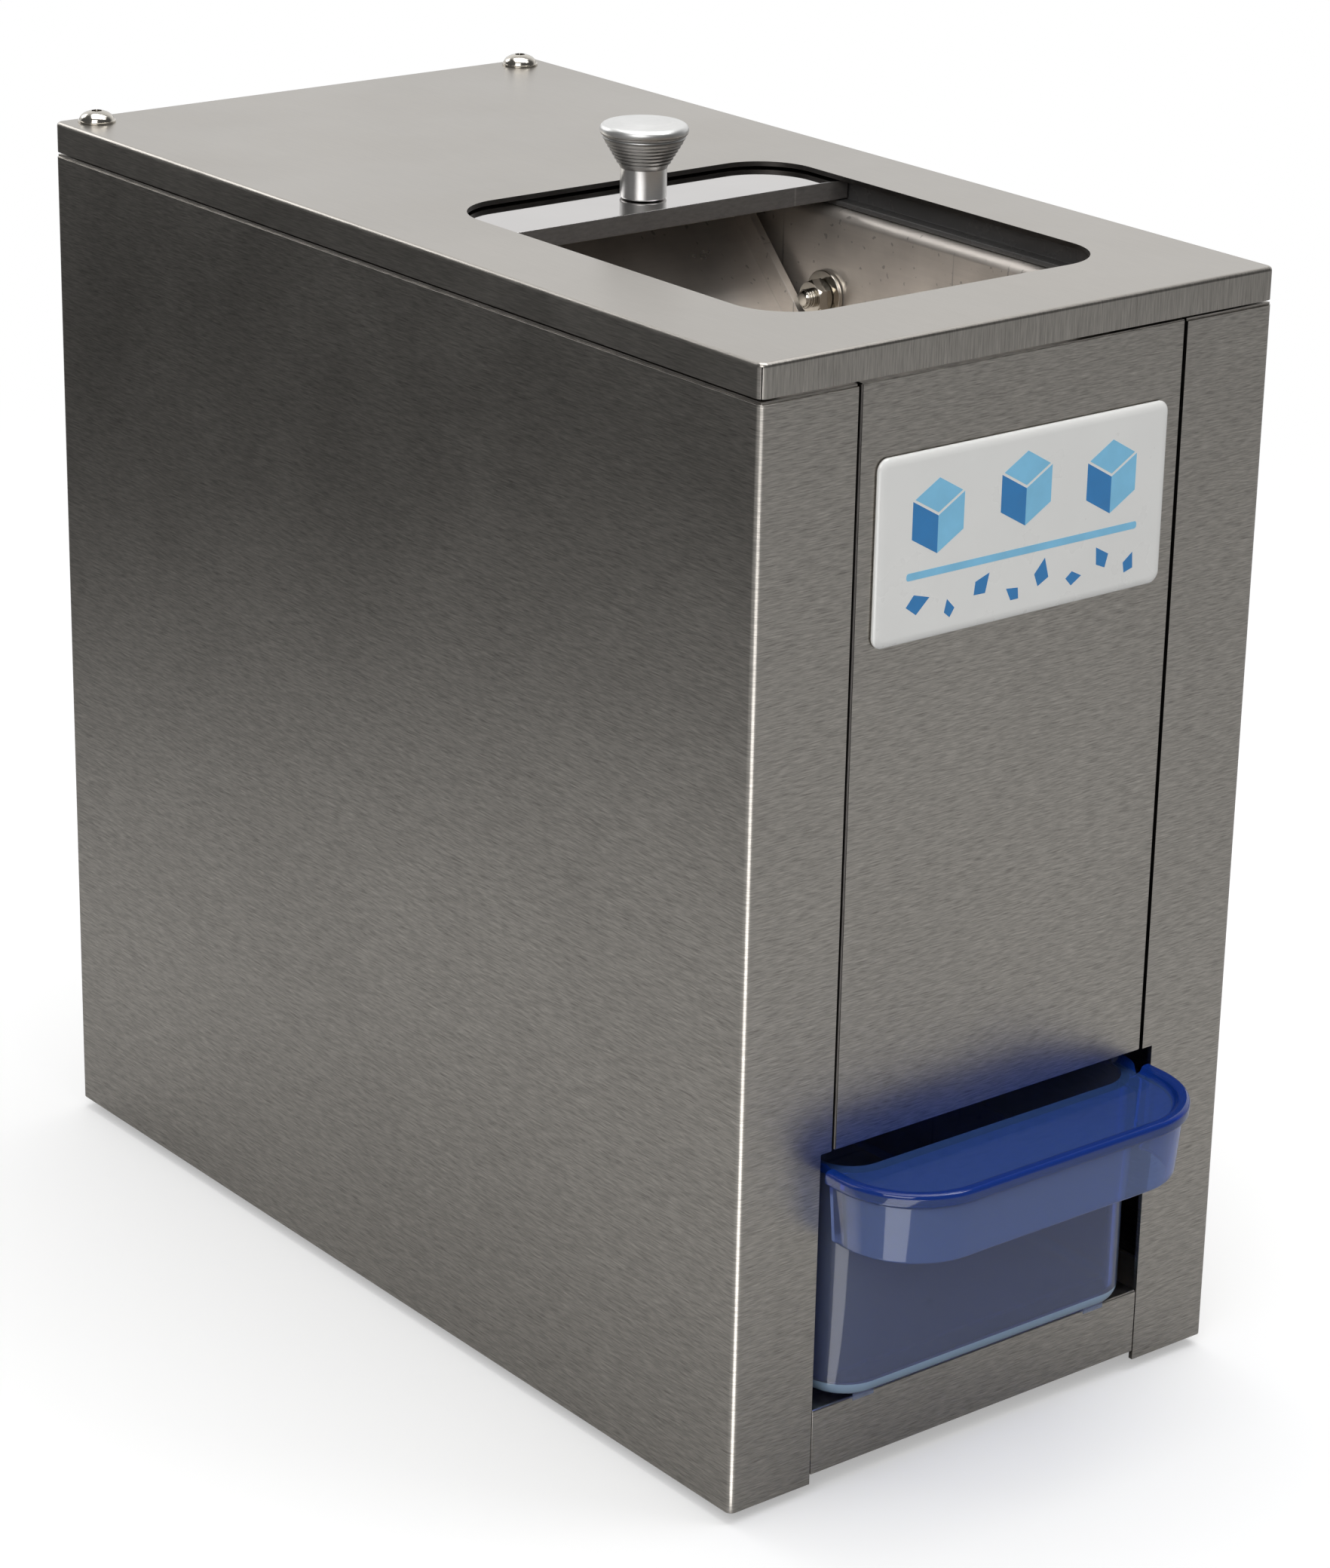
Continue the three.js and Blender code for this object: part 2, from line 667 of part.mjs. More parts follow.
// Rear wall: slopes down at the back of the filling space, then drops behind the rotor.
{
  const chuteHalf = hopperHalf - chuteSideGap;
  const path = [
    [chuteTopY + 10, flangeLevel], [chuteTopY, flangeLevel],
    [chuteFoot + hopperSkin, chuteFootHeight], [chuteFoot + hopperSkin, hopperBottom],
  ];
  const plate = alongX(bentSheet(path), -chuteHalf, chuteHalf);
  const rise = chuteFlange + sheet;
  const slope = Math.atan(slopeRise);
  const along = new THREE.Vector2(Math.cos(slope), Math.sin(slope));
  const up = new THREE.Vector2(-along.y, along.x);
  const foot = new THREE.Vector2(...path[2]).addScaledVector(along, 3);
  const head = new THREE.Vector2(...path[1]).addScaledVector(along, -9);
  const rib = new THREE.Shape([
    foot, head, head.clone().addScaledVector(up, rise), foot.clone().addScaledVector(up, rise),
  ]);
  const ribs = sides.map(([, sign]) => alongX(
    rib, ...[sign * (chuteHalf - 2 * sheet), sign * chuteHalf].sort((a, b) => a - b),
  ));
  const narrow = sides.map(([, sign]) => box(
    ...[sign * (chamberHalf - 0.5), sign * (hopperHalf + 5)].sort((a, b) => a - b),
    chuteFoot - 3, chuteFoot + 4, hopperBottom - 1, chuteFootHeight - 22,
  ));
  piece('hopper_rear_chute', cut(join(plate, ...ribs), ...narrow, shaftHole), 'darkSteel', core);
}

// Bolts through the side walls hold the hopper to brackets on the side panels.
const bracketThickness = 1.5;
const outside = hopperHalf + sheet;
for (const [side, sign] of sides) {
  const wall = sign * (outside + fit + bracketThickness / 2);
  const panel = sign * (innerWall - fit - bracketThickness / 2) - fillX;
  const section = bentSheet([
    [wall, boltHeight + 10], [wall, boltHeight - 14], [panel, boltHeight - 14],
    [panel, boltHeight - 30],
  ], bracketThickness);
  const hole = turnedX(rod(boltRadius + fit, -beyond, beyond), boltY, boltHeight, 16);
  const bracket = cut(alongY(section, boltY - 12, boltY + 12), hole);
  piece(`hopper_bracket_${side}`, bracket, 'darkSteel', core);

  const turn = new THREE.Matrix4().makeScale(sign, 1, 1);
  const place = (manifold) => {
    const geometry = geometryOf(manifold).applyMatrix4(turn);
    if (sign < 0) geometry.index.array.reverse();
    return solid(geometry);
  };
  const headSeat = outside + bracketThickness + 2 * fit;
  const tip = hopperHalf - 10;
  const shank = turnedX(rod(boltRadius, tip, headSeat + 1), boltY, boltHeight, 16);
  const head = alongX(hexagon(10, boltY, boltHeight), headSeat, headSeat + 4);
  piece(`hopper_bolt_${side}`, place(join(shank, head)), 'nickel', core);
  const washer = turnedX(
    tube(boltRadius + fit, 8, hopperHalf - fit - 1.4, hopperHalf - fit), boltY, boltHeight, 24,
  );
  piece(`hopper_washer_${side}`, place(washer), 'nickel', core);
  const nutEnd = hopperHalf - 2 * fit - 1.4;
  const nut = cut(
    alongX(hexagon(10, boltY, boltHeight), nutEnd - 5, nutEnd),
    turnedX(rod(boltRadius + fit, nutEnd - 9, nutEnd + 9), boltY, boltHeight, 16),
  );
  piece(`hopper_nut_${side}`, place(nut), 'nickel', core);
}

// The throat leads the crushed ice from the rotor down into the drawer.
{
  const play = sheet + fit;
  const x = chamberHalf + play;
  const [y0, y1] = [hopperFront - play, chuteFoot + sheet + fit];
  const [z0, z1] = [drawerTop + 3.5, hopperBottom + 8];
  const outer = box(-x - sheet, x + sheet, y0 - sheet, y1 + sheet, z0, z1);
  piece('ice_throat', cut(outer, box(-x, x, y0, y1, z0 - 1, z1 + 1)), 'darkSteel', core);
}

// ---------------------------------------------------------------- crusher

const chamberFront = hopperFront + fit;
const chamberBack = chuteFoot - fit;
const chamberMiddle = (chamberFront + chamberBack) / 2;
const armY = Array.from(
  { length: armCount }, (_, i) => chamberMiddle + (i - (armCount - 1) / 2) * armPitch,
);

// The grate under the rotor has one slot for each arm.
{
  const half = chamberHalf - fit;
  const plate = box(-half, half, chamberFront, chamberBack, grateTop - grateThickness, grateTop);
  const slots = armY.map((y) => alongZ(
    roundedRect(-armReach, armReach, y - slotWidth / 2, y + slotWidth / 2, 3), 0, beyond, 3,
  ));
  piece('ice_grate', cut(plate, ...slots), 'darkSteel', core);
}

// Bearing plates stand outside the front and rear walls of the chamber.
const plateThickness = 5;
const frontPlate = hopperFront - sheet - fit - plateThickness;
const rearPlate = chuteFoot + sheet + fit;
for (const [end, y] of [['front', frontPlate], ['rear', rearPlate]]) {
  const plate = roundedRect(-30, 30, axisHeight - 26, axisHeight + 26, 6);
  const body = cut(alongY(plate, y, y + plateThickness, 4), shaftHole);
  piece(`bearing_plate_${end}`, body, 'castAluminium', core);
}
const journal = 7;
const bushes = [['front', frontPlate - 1, hopperFront - 0.5, journal],
  ['rear', chuteFoot + 0.5, rearPlate + plateThickness + 1, shaftRadius]];
for (const [end, from, to, shaft] of bushes) {
  const body = turnedY(tube(shaft + fit, bushRadius, from, to), 0, axisHeight, 24);
  piece(`bearing_bush_${end}`, body, 'bronze', core);
}

// Gearbox depths, from the bulkhead back.
const boxFront = bulkheadY + sheet + fit;
const outputGearY = boxFront + boxWall + 1.5;
const layGearY = outputGearY + gearWidth + 3;
const boxBack = layGearY + gearWidth + 2;
const coverBack = boxBack + fit + boxWall;

// The shaft is hexagonal where it carries the arms and the output gear.
const armFlats = 14.4;
const gearFlats = 13;
{
  const hexFrom = chamberFront + 2;
  const hexTo = chamberBack - 2;
  const drawn = (flats) => hexagon(flats, 0, axisHeight);
  const shaft = join(
    turnedY(rod(journal, frontPlate - 3, hexFrom + 1), 0, axisHeight, 24),
    alongY(drawn(armFlats), hexFrom, hexTo),
    turnedY(rod(shaftRadius, hexTo - 1, outputGearY - 1), 0, axisHeight, 24),
    alongY(drawn(gearFlats), outputGearY - 2, outputGearY + gearWidth + 1),
  );
  piece('crusher_shaft', shaft, 'nickel', core);
}

// Each arm is a hub with two opposite toothed prongs, turned on from the one before it.
armY.forEach((y, i) => {
  const prong = outline([
    [-11, 0], [-9, 24], [-6, armReach - 3], [-2.5, armReach - 8], [1, armReach - 0.5],
    [5, armReach - 7], [9, 22], [11, 0],
  ]);
  const half = alongY(prong, -armThickness / 2, armThickness / 2);
  const hub = turnedY(rod(hubRadius, -armPitch / 2 + fit / 2, armPitch / 2 - fit / 2), 0, 0, 24);
  const bore = alongY(hexagon(armFlats + 2 * fit), -armPitch, armPitch);
  const arm = cut(join(hub, half, half.rotate([0, 180, 0])), bore);
  const mesh = piece(`breaker_arm_${i + 1}`, arm, 'nickel', core);
  mesh.position.set(0, y, axisHeight);
  mesh.rotation.y = (i * Math.PI) / 3;
});

// ---------------------------------------------------------------- gearbox and motor

// Involute spur gear drawn about the origin with a tooth pointing along +X.
function gearShape(teeth, flankSteps = 2) {
  const pitch = (teeth * gearModule) / 2;
  const pressure = THREE.MathUtils.degToRad(20);
  const base = pitch * Math.cos(pressure);
  const tip = pitch + addendum;
  const root = pitch - 1.15 * gearModule;
  const backlash = 0.16 / pitch;
  const involute = (angle) => Math.tan(angle) - angle;
  const halfAngle = (radius) => {
    const reach = Math.acos(Math.min(1, base / radius));
    return Math.PI / (2 * teeth) - backlash + involute(pressure) - involute(reach);
  };
  const start = Math.max(base, root);
  const flank = [[root, halfAngle(start) + (root < base ? -0.15 / teeth : 0)]];
  for (let k = 0; k <= flankSteps; k += 1) {
    const radius = start + ((tip - start) * k) / flankSteps;
    flank.push([radius, halfAngle(radius)]);
  }
  const points = [];
  for (let i = 0; i < teeth; i += 1) {
    const middle = (i * 2 * Math.PI) / teeth;
    const at = ([radius, angle], way) => [
      radius * Math.cos(middle + way * angle), radius * Math.sin(middle + way * angle),
    ];
    points.push(...flank.map((p) => at(p, -1)), ...flank.toReversed().map((p) => at(p, 1)));
  }
  return outline(points);
}

// The lay shaft stands straight over the rotor's shaft, so meshing teeth point up or down.
const up = Math.PI / 2;
function gear(teeth, from, to, phase) {
  const body = alongY(gearShape(teeth), from, to);
  return body.rotate([0, -THREE.MathUtils.radToDeg(phase), 0]);
}

{
  const bore = alongY(hexagon(gearFlats + 2 * fit), -beyond, beyond);
  const output = cut(gear(outputTeeth, outputGearY, outputGearY + gearWidth, up), bore);
  piece('output_gear', output.translate([0, 0, axisHeight]), 'darkSteel', core);
}
{
  const pinionPhase = -up + Math.PI / layPinionTeeth;
  const gearPhase = -up + Math.PI / layGearTeeth;
  const cluster = join(
    gear(layPinionTeeth, outputGearY - 0.5, outputGearY + gearWidth + 1, pinionPhase),
    gear(layGearTeeth, layGearY, layGearY + gearWidth, gearPhase),
    turnedY(rod(layShaftRadius + 3, outputGearY + gearWidth, layGearY + 1), 0, 0, 24),
    turnedY(rod(layShaftRadius, boxFront + fit, coverBack - fit), 0, 0, 24),
  );
  piece('lay_gear_cluster', cluster.translate([0, 0, layHeight]), 'darkSteel', core);
}

// Gearbox: a slot-shaped cup behind the bulkhead, and its cover.
function slotShape(radius) {
  const shape = new THREE.Shape();
  shape.absarc(0, layHeight, radius, 0, Math.PI);
  shape.absarc(0, axisHeight, radius, Math.PI, 2 * Math.PI);
  return shape;
}
const boreAt = (radius, z) => turnedY(rod(radius, -beyond, beyond), 0, z, 24);
{
  const outer = slotShape(cavityRadius + boxWall);
  const inner = alongY(slotShape(cavityRadius), boxFront + boxWall, boxBack + 1, 14);
  const cup = cut(
    alongY(outer, boxFront, boxBack, 14), inner,
    boreAt(shaftRadius + fit, axisHeight), boreAt(layShaftRadius + fit, layHeight),
  );
  piece('gearbox_housing', cup, 'castAluminium', core);
  const lid = cut(
    alongY(outer, boxBack + fit, coverBack, 14),
    boreAt(motorShaftRadius + fit, axisHeight), boreAt(layShaftRadius + fit, layHeight),
  );
  piece('gearbox_cover', lid, 'castAluminium', core);
}

// Motor, on the same line as the rotor.
const motorFront = coverBack + fit;
const motorBack = motorFront + motorLength;
const motorSkin = 3;
const shieldBack = motorBack + fit + motorSkin;
const fanFront = shieldBack + 3;
const motorBore = motorShaftRadius + fit;
const inside = motorRadius - motorSkin;
piece('motor_housing', turnedY([
  [motorBore, motorFront], [motorRadius, motorFront], [motorRadius, motorBack],
  [inside, motorBack], [inside, motorFront + motorSkin], [motorBore, motorFront + motorSkin],
  [motorBore, motorFront],
], 0, axisHeight, 30), 'paintedMotor', core);
piece('motor_end_shield', turnedY(
  tube(motorBore, motorRadius, motorBack + fit, shieldBack), 0, axisHeight, 40,
), 'paintedMotor', core);
piece('motor_stator', turnedY(
  tube(statorBore, inside - fit, motorFront + 14, motorBack - 10), 0, axisHeight, 32,
), 'laminations', core);
piece('motor_rotor', turnedY([
  [0, layGearY - 1.5], [motorShaftRadius, layGearY - 1.5],
  [motorShaftRadius, motorFront + 15], [statorBore - airGap, motorFront + 15],
  [statorBore - airGap, motorBack - 11], [motorShaftRadius, motorBack - 11],
  [motorShaftRadius, fanFront + fanDepth + 1], [0, fanFront + fanDepth + 1],
], 0, axisHeight, 24), 'laminations', core);
piece('motor_pinion', cut(
  gear(motorPinionTeeth, layGearY - 0.5, layGearY + gearWidth + 0.5, up),
  turnedY(rod(motorBore, -beyond, beyond), 0, 0, 24),
).translate([0, 0, axisHeight]), 'darkSteel', core);

// Fan: a back disc with straight blades.
{
  const hub = turnedY(rod(motorBore + 5, fanFront, fanFront + fanDepth), 0, 0, 24);
  const disc = turnedY(rod(fanRadius, fanFront, fanFront + 1.6), 0, 0, 32);
  const blades = Array.from({ length: fanBlades }, (_, i) => box(
    motorBore + 3, fanRadius - 1, fanFront + 1, fanFront + fanDepth, -0.9, 0.9,
  ).rotate([0, (i * 360) / fanBlades, 0]));
  const fan = cut(join(hub, disc, ...blades), turnedY(rod(motorBore, -beyond, beyond), 0, 0, 24));
  piece('motor_fan', fan.translate([0, 0, axisHeight]), 'blackPlastic', core);
}

// Saddle that carries the motor on the base plate.
{
  const y = motorBack - 26;
  const plate = box(-40, 40, y, y + 3, baseTop + fit, axisHeight - 14);
  const foot = box(-40, 40, y, y + 22, baseTop + fit, baseTop + fit + 3);
  const saddle = turnedY(rod(motorRadius + fit, y - 9, y + 9), 0, axisHeight, 30);
  piece('motor_saddle', cut(join(plate, foot), saddle), 'darkSteel', core);
}

// Bulkhead between the wet front and the dry back.
{
  const half = innerWall - sheet - 2 * bendClear;
  const y = bulkheadY + sheet / 2;
  const top = Math.min(slopeAt(bulkheadY), flangeLevel) - 1.6;
  const section = bentSheet([[y + 16, baseTop + fit + sheet / 2],
    [y, baseTop + fit + sheet / 2], [y, top]]);
  const hole = turnedY(rod(shaftRadius + 4, -beyond, beyond), fillX, axisHeight, 24);
  piece('bulkhead', cut(alongX(section, -half, half), hole), 'darkSteel');
}

// Run capacitor, lying on the base plate beside the saddle.
{
  const radius = 18;
  const start = bulkheadY + 40;
  const end = start + 77;
  const profile = [[0, start], [radius - 1, start], [radius, start + 1], [radius, end - 1],
    [radius - 1, end], [5, end], [5, end + 4], [0, end + 4]];
  const x = -innerWall + 27.5;
  piece('run_capacitor', turnedY(profile, x, baseTop + fit + radius, 24), 'greyPlastic');
}

// ---------------------------------------------------------------- drawer

// A D-shaped outline: square at the back, large round corners at the front.
function frontRounded(half, front, back, radius) {
  const shape = new THREE.Shape();
  shape.moveTo(half, back);
  shape.lineTo(-half, back);
  shape.lineTo(-half, front + radius);
  shape.absarc(-half + radius, front + radius, radius, Math.PI, 1.5 * Math.PI);
  shape.lineTo(half - radius, front);
  shape.absarc(half - radius, front + radius, radius, 1.5 * Math.PI, 2 * Math.PI);
  return shape;
}

{
  const shelfFront = tubFront - shelfReach;
  const level = drawerTop - shelfDrop;
  const tub = alongZ(roundedRect(-tubHalf, tubHalf, tubFront, tubBack, tubRadius),
    tubBottom, drawerTop - 3);
  const hollow = alongZ(roundedRect(
    -tubHalf + tubWall, tubHalf - tubWall, tubFront + tubWall, tubBack - tubWall,
    tubRadius - tubWall,
  ), tubBottom + tubWall, drawerTop + 5);
  const collar = alongZ(
    roundedRect(-tubHalf - 2, tubHalf + 2, tubFront - 2, tubBack + 2, tubRadius),
    drawerTop - 3.5, drawerTop,
  );
  const d = (inset, z0, z1, back = -halfDepth - 1) => alongZ(
    frontRounded(shelfHalfWidth - inset, shelfFront + inset, back, shelfRadius - inset), z0, z1,
  );
  const rim = d(0, level - tubWall, drawerTop);
  const dish = d(rimWidth, level, drawerTop + 1, -halfDepth + 9);
  const skirtTop = level - tubWall;
  const skirt = cut(
    d(skirtInset, skirtTop + 1 - skirtHeight, skirtTop + 1),
    d(skirtInset + tubWall, 0, skirtTop, beyond),
  );
  const stops = sides.map(([, sign]) => box(
    ...[sign * (tubHalf - 22), sign * (tubHalf - 8)].sort((a, b) => a - b),
    tubFront + 1, -halfDepth - 0.6, tubBottom - 2, tubBottom + 3,
  ));
  const backGap = box(
    -beyond, beyond, -halfDepth + 0.5, beyond, drawerTop - shelfDrop - 20, drawerTop - 3.5,
  );
  const shelf = cut(join(rim, skirt), dish, backGap);
  piece('drawer', cut(join(tub, collar, shelf, ...stops), hollow), 'bluePlastic');
}

// The tray that the drawer slides on, standing on two ribs.
{
  const wall = tubHalf + 5.2;
  const floor = tubBottom - fit - sheet / 2;
  const section = bentSheet([[-wall, 60], [-wall, floor], [wall, floor], [wall, 60]]);
  const [y0, y1] = [-halfDepth + returnDepth + fit, bulkheadY - fit];
  const ribs = sides.map(([, sign]) => box(
    sign * 40 - 2, sign * 40 + 2, y0, y1, baseTop + fit, floor,
  ));
  piece('drawer_tray', join(alongY(section, y0, y1), ...ribs), 'darkSteel');
}

// ---------------------------------------------------------------- origin

// The origin is on the ground under the middle of the machine's overall length.
const extent = new THREE.Box3().setFromObject(machine);
const centre = extent.getCenter(new THREE.Vector3());
machine.position.set(-centre.x, -centre.y, -extent.min.z);

export default machine;
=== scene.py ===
"""Countertop ice crusher: finished pieces, materials and studio round its fixed frame."""
import math
from contextlib import contextmanager
from functools import partial

import bmesh
import bpy
from mathutils import Matrix, Vector


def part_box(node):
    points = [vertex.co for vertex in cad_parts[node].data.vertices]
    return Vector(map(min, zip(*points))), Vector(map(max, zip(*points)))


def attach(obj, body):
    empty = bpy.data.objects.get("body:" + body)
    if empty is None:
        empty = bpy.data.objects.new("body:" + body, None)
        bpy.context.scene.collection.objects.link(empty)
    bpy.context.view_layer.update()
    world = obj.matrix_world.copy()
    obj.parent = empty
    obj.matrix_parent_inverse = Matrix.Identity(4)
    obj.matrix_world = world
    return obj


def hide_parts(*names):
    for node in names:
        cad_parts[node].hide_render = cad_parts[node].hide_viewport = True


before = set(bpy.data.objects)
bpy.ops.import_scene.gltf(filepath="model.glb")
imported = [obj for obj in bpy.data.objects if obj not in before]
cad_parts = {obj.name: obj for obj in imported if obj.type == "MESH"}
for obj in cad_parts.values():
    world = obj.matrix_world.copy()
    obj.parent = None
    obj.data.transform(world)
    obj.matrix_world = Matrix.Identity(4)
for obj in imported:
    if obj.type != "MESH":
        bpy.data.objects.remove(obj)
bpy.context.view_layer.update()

bl_info = {
    "name": "Ice crusher",
    "version": (1, 0, 0),
    "blender": (4, 5, 0),
    "location": "View3D > Sidebar > Ice crusher",
    "description": "Builds the finished pieces of a countertop ice crusher and its studio",
    "category": "Object",
}

MM = 0.001
TINY = 1e-5

# Pieces that the frame's own boxes place.
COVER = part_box("top_cover")
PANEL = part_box("front_panel")
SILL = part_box("front_sill")
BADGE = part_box("badge")
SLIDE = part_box("slide_cover")
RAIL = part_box("slide_rail_left")
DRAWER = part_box("drawer")
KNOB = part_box("slide_knob")
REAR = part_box("rear_panel")


def middle(box):
    return (box[0] + box[1]) / 2


# ---------------------------------------------------------------- sizes and colours


def length(name, description, default):
    return bpy.props.FloatProperty(
        name=name, description=description, default=default, min=0.0,
        subtype="DISTANCE", unit="LENGTH",
    )


def colour(name, description, default):
    return bpy.props.FloatVectorProperty(
        name=name, description=description, default=default, min=0.0, max=1.0,
        size=3, subtype="COLOR",
    )


class CRUSHER_PG_sizes(bpy.types.PropertyGroup):
    sheet: length("Sheet", "Thickness of the casing's sheet metal", 1.5 * MM)
    thin_sheet: length("Front sheet", "Thickness of the front panel and the sill", 0.7 * MM)
    tight_bend: length("Tight bend", "Inside radius of those two", 0.1 * MM)
    bend: length("Bend", "Inside radius of the casing's bends", 0.6 * MM)
    fold: length("Fold", "Outside radius of the folds along the top edges", 1.3 * MM)
    corner: length("Corner", "Radius of the top cover's upright corners", 2.4 * MM)
    skirt: length("Skirt", "Height of the top cover's folded edge", 9.7 * MM)
    edge: length("Edge", "Rounding of a cut edge", 0.22 * MM)
    corner_seam: length("Corner seam", "Open seam at the cover's corners", 0.35 * MM)
    fill_width: length("Fill width", "Width of the opening in the top cover", 127 * MM)
    fill_length: length("Fill length", "Length of the opening in the top cover", 155.5 * MM)
    fill_start: length("Fill start", "From the front of the rails to that opening", 9 * MM)
    fill_radius: length("Fill radius", "Corner radius of that opening", 18.5 * MM)
    badge_radius: length("Badge radius", "Corner radius of the badge", 3.6 * MM)
    badge_dome: length("Badge dome", "Depth of the badge's rounded rim", 1.2 * MM)
    badge_rim: length("Badge rim", "Width of the badge's rounded rim", 2.6 * MM)
    tub_wall: length("Drawer wall", "Wall of the clear drawer", 2.5 * MM)
    tub_radius: length("Drawer corner", "Upright corner radius of the drawer", 14 * MM)
    tub_foot: length("Drawer foot", "Radius round the drawer's floor", 5 * MM)
    shelf_radius: length("Shelf radius", "Front corner radius of the drawer's lip", 28 * MM)
    rim_width: length("Rim width", "Width of the raised rim round the lip", 4 * MM)
    thread_pitch: length("Thread pitch", "Pitch of the bolts' thread", 1.0 * MM)


class CRUSHER_PG_colours(bpy.types.PropertyGroup):
    panels: colour("Panels", "Brushed casing sheet", (0.46, 0.435, 0.40))
    inner: colour("Inner steel", "Plain sheet inside the machine", (0.76, 0.705, 0.65))
    mirror: colour("Slide cover", "Polished slide cover", (0.66, 0.64, 0.63))
    satin: colour("Knob", "Satin aluminium", (0.78, 0.78, 0.77))
    bright: colour("Fixings", "Nickel-plated screws and bolts", (0.72, 0.68, 0.61))
    bronze: colour("Bushes", "Bearing bronze", (0.62, 0.45, 0.22))
    alloy: colour("Castings", "Cast aluminium", (0.50, 0.51, 0.52))
    motor: colour("Motor paint", "Dark stoved paint", (0.06, 0.07, 0.08))
    iron: colour("Laminations", "Electrical steel", (0.30, 0.28, 0.26))
    black: colour("Black plastic", "Moulded black plastic", (0.018, 0.018, 0.019))
    grey: colour("Grey plastic", "Moulded grey plastic", (0.50, 0.52, 0.54))
    rubber: colour("Rubber", "Feet", (0.02, 0.02, 0.021))
    blue: colour("Blue plastic", "Clear drawer", (0.52, 0.60, 0.80))
    blue_depth: colour("Blue depth", "Light left after a thick wall", (0.01, 0.24, 0.86))
    # Darker copies of the drawer's blue are painted shade on its lip, shelf and rim; the pale blue
    # is a painted highlight and sheen.
    blue_lip_painted_shade: colour("Blue lip", "Lip of the clear drawer", (0.30, 0.43, 0.76))
    blue_shelf_painted_shade: colour("Blue shelf", "Top of the lip", (0.13, 0.28, 0.78))
    blue_rim_painted_shade: colour("Blue rim", "Raised rim of the lip", (0.02, 0.10, 0.62))
    blue_painted_highlight: colour("Blue edge", "Clear drawer where it turns away", (0.52, 0.73, 1.0))
    badge: colour("Badge", "White label under resin", (0.84, 0.84, 0.82))
    print_dark: colour("Badge blue", "Shaded faces of the printed cubes", (0.005, 0.20, 0.52))
    print_light: colour("Badge light blue", "Lit faces of the printed cubes", (0.22, 0.58, 0.85))
    floor: colour("Floor", "Pale floor", (0.93, 0.93, 0.93))


def sizes():
    return bpy.context.scene.crusher_sizes


def colours():
    return bpy.context.scene.crusher_colours


# ---------------------------------------------------------------- mesh helpers


def object_from(bm, name):
    mesh = bpy.data.meshes.new(name)
    bm.to_mesh(mesh)
    bm.free()
    made = bpy.data.objects.new(name, mesh)
    bpy.context.scene.collection.objects.link(made)
    return made


def flatten(obj):
    """Turns the object's live modifiers into its own plain mesh."""
    depsgraph = bpy.context.evaluated_depsgraph_get()
    mesh = bpy.data.meshes.new_from_object(obj.evaluated_get(depsgraph))
    mesh.name = obj.name
    obj.modifiers.clear()
    obj.data = mesh
    return obj


def combine(base, how, *tools):
    """Joins, cuts or crosses base with the tools, which are used up."""
    for tool in tools:
        modifier = base.modifiers.new("combine", "BOOLEAN")
        modifier.operation = how
        modifier.solver = "EXACT"
        modifier.object = tool
    flatten(base)
    for tool in tools:
        bpy.data.objects.remove(tool)
    return base


def cut(base, *tools):
    return combine(base, "DIFFERENCE", *tools)


def join(base, *tools):
    return combine(base, "UNION", *tools)


def closed(bm, name):
    """An object from a mesh whose faces are all turned outward."""
    bmesh.ops.recalc_face_normals(bm, faces=bm.faces)
    return object_from(bm, name)


def bridge(bm, rings):
    """Joins closed rings of equal count in order, and gives their vertices."""
    rows = [[bm.verts.new(point) for point in ring] for ring in rings]
    count = len(rows[0])
    for low, high in zip(rows, rows[1:]):
        for i in range(count):
            j = (i + 1) % count
            bm.faces.new((low[i], low[j], high[j], high[i]))
    return rows


def add_solid(bm, rings):
    """Adds the closed solid through the rings, capped at both ends."""
    rows = bridge(bm, rings)
    bm.faces.new(list(reversed(rows[0])))
    bm.faces.new(rows[-1])


def loft(name, rings):
    bm = bmesh.new()
    add_solid(bm, rings)
    return closed(bm, name)


def block(x0, x1, y0, y1, z0, z1, name="block"):
    rings = [[Vector((x, y, z)) for x, y in ((x0, y0), (x1, y0), (x1, y1), (x0, y1))]
             for z in (z0, z1)]
    return loft(name, rings)


def arc(centre, radius, start, end, steps):
    """Points on an arc in a plane, both ends included."""
    return [
        (centre[0] + radius * math.cos(start + (end - start) * i / steps),
         centre[1] + radius * math.sin(start + (end - start) * i / steps))
        for i in range(steps + 1)
    ]


def rounded_rectangle(x0, x1, y0, y1, radius, steps=8):
    right, turn = math.pi / 2, 2 * math.pi
    return [
        *arc((x1 - radius, y0 + radius), radius, -right, 0, steps),
        *arc((x1 - radius, y1 - radius), radius, 0, right, steps),
        *arc((x0 + radius, y1 - radius), radius, right, math.pi, steps),
        *arc((x0 + radius, y0 + radius), radius, math.pi, turn - right, steps),
    ]


def front_rounded(half, front, back, radius, steps=18):
    """A D outline: square at the back and round at its two front corners."""
    return [
        (half, back), (-half, back),
        *arc((-half + radius, front + radius), radius, math.pi, 1.5 * math.pi, steps),
        *arc((half - radius, front + radius), radius, 1.5 * math.pi, 2 * math.pi, steps),
    ]


def at_height(outline, z):
    return [Vector((x, y, z)) for x, y in outline]


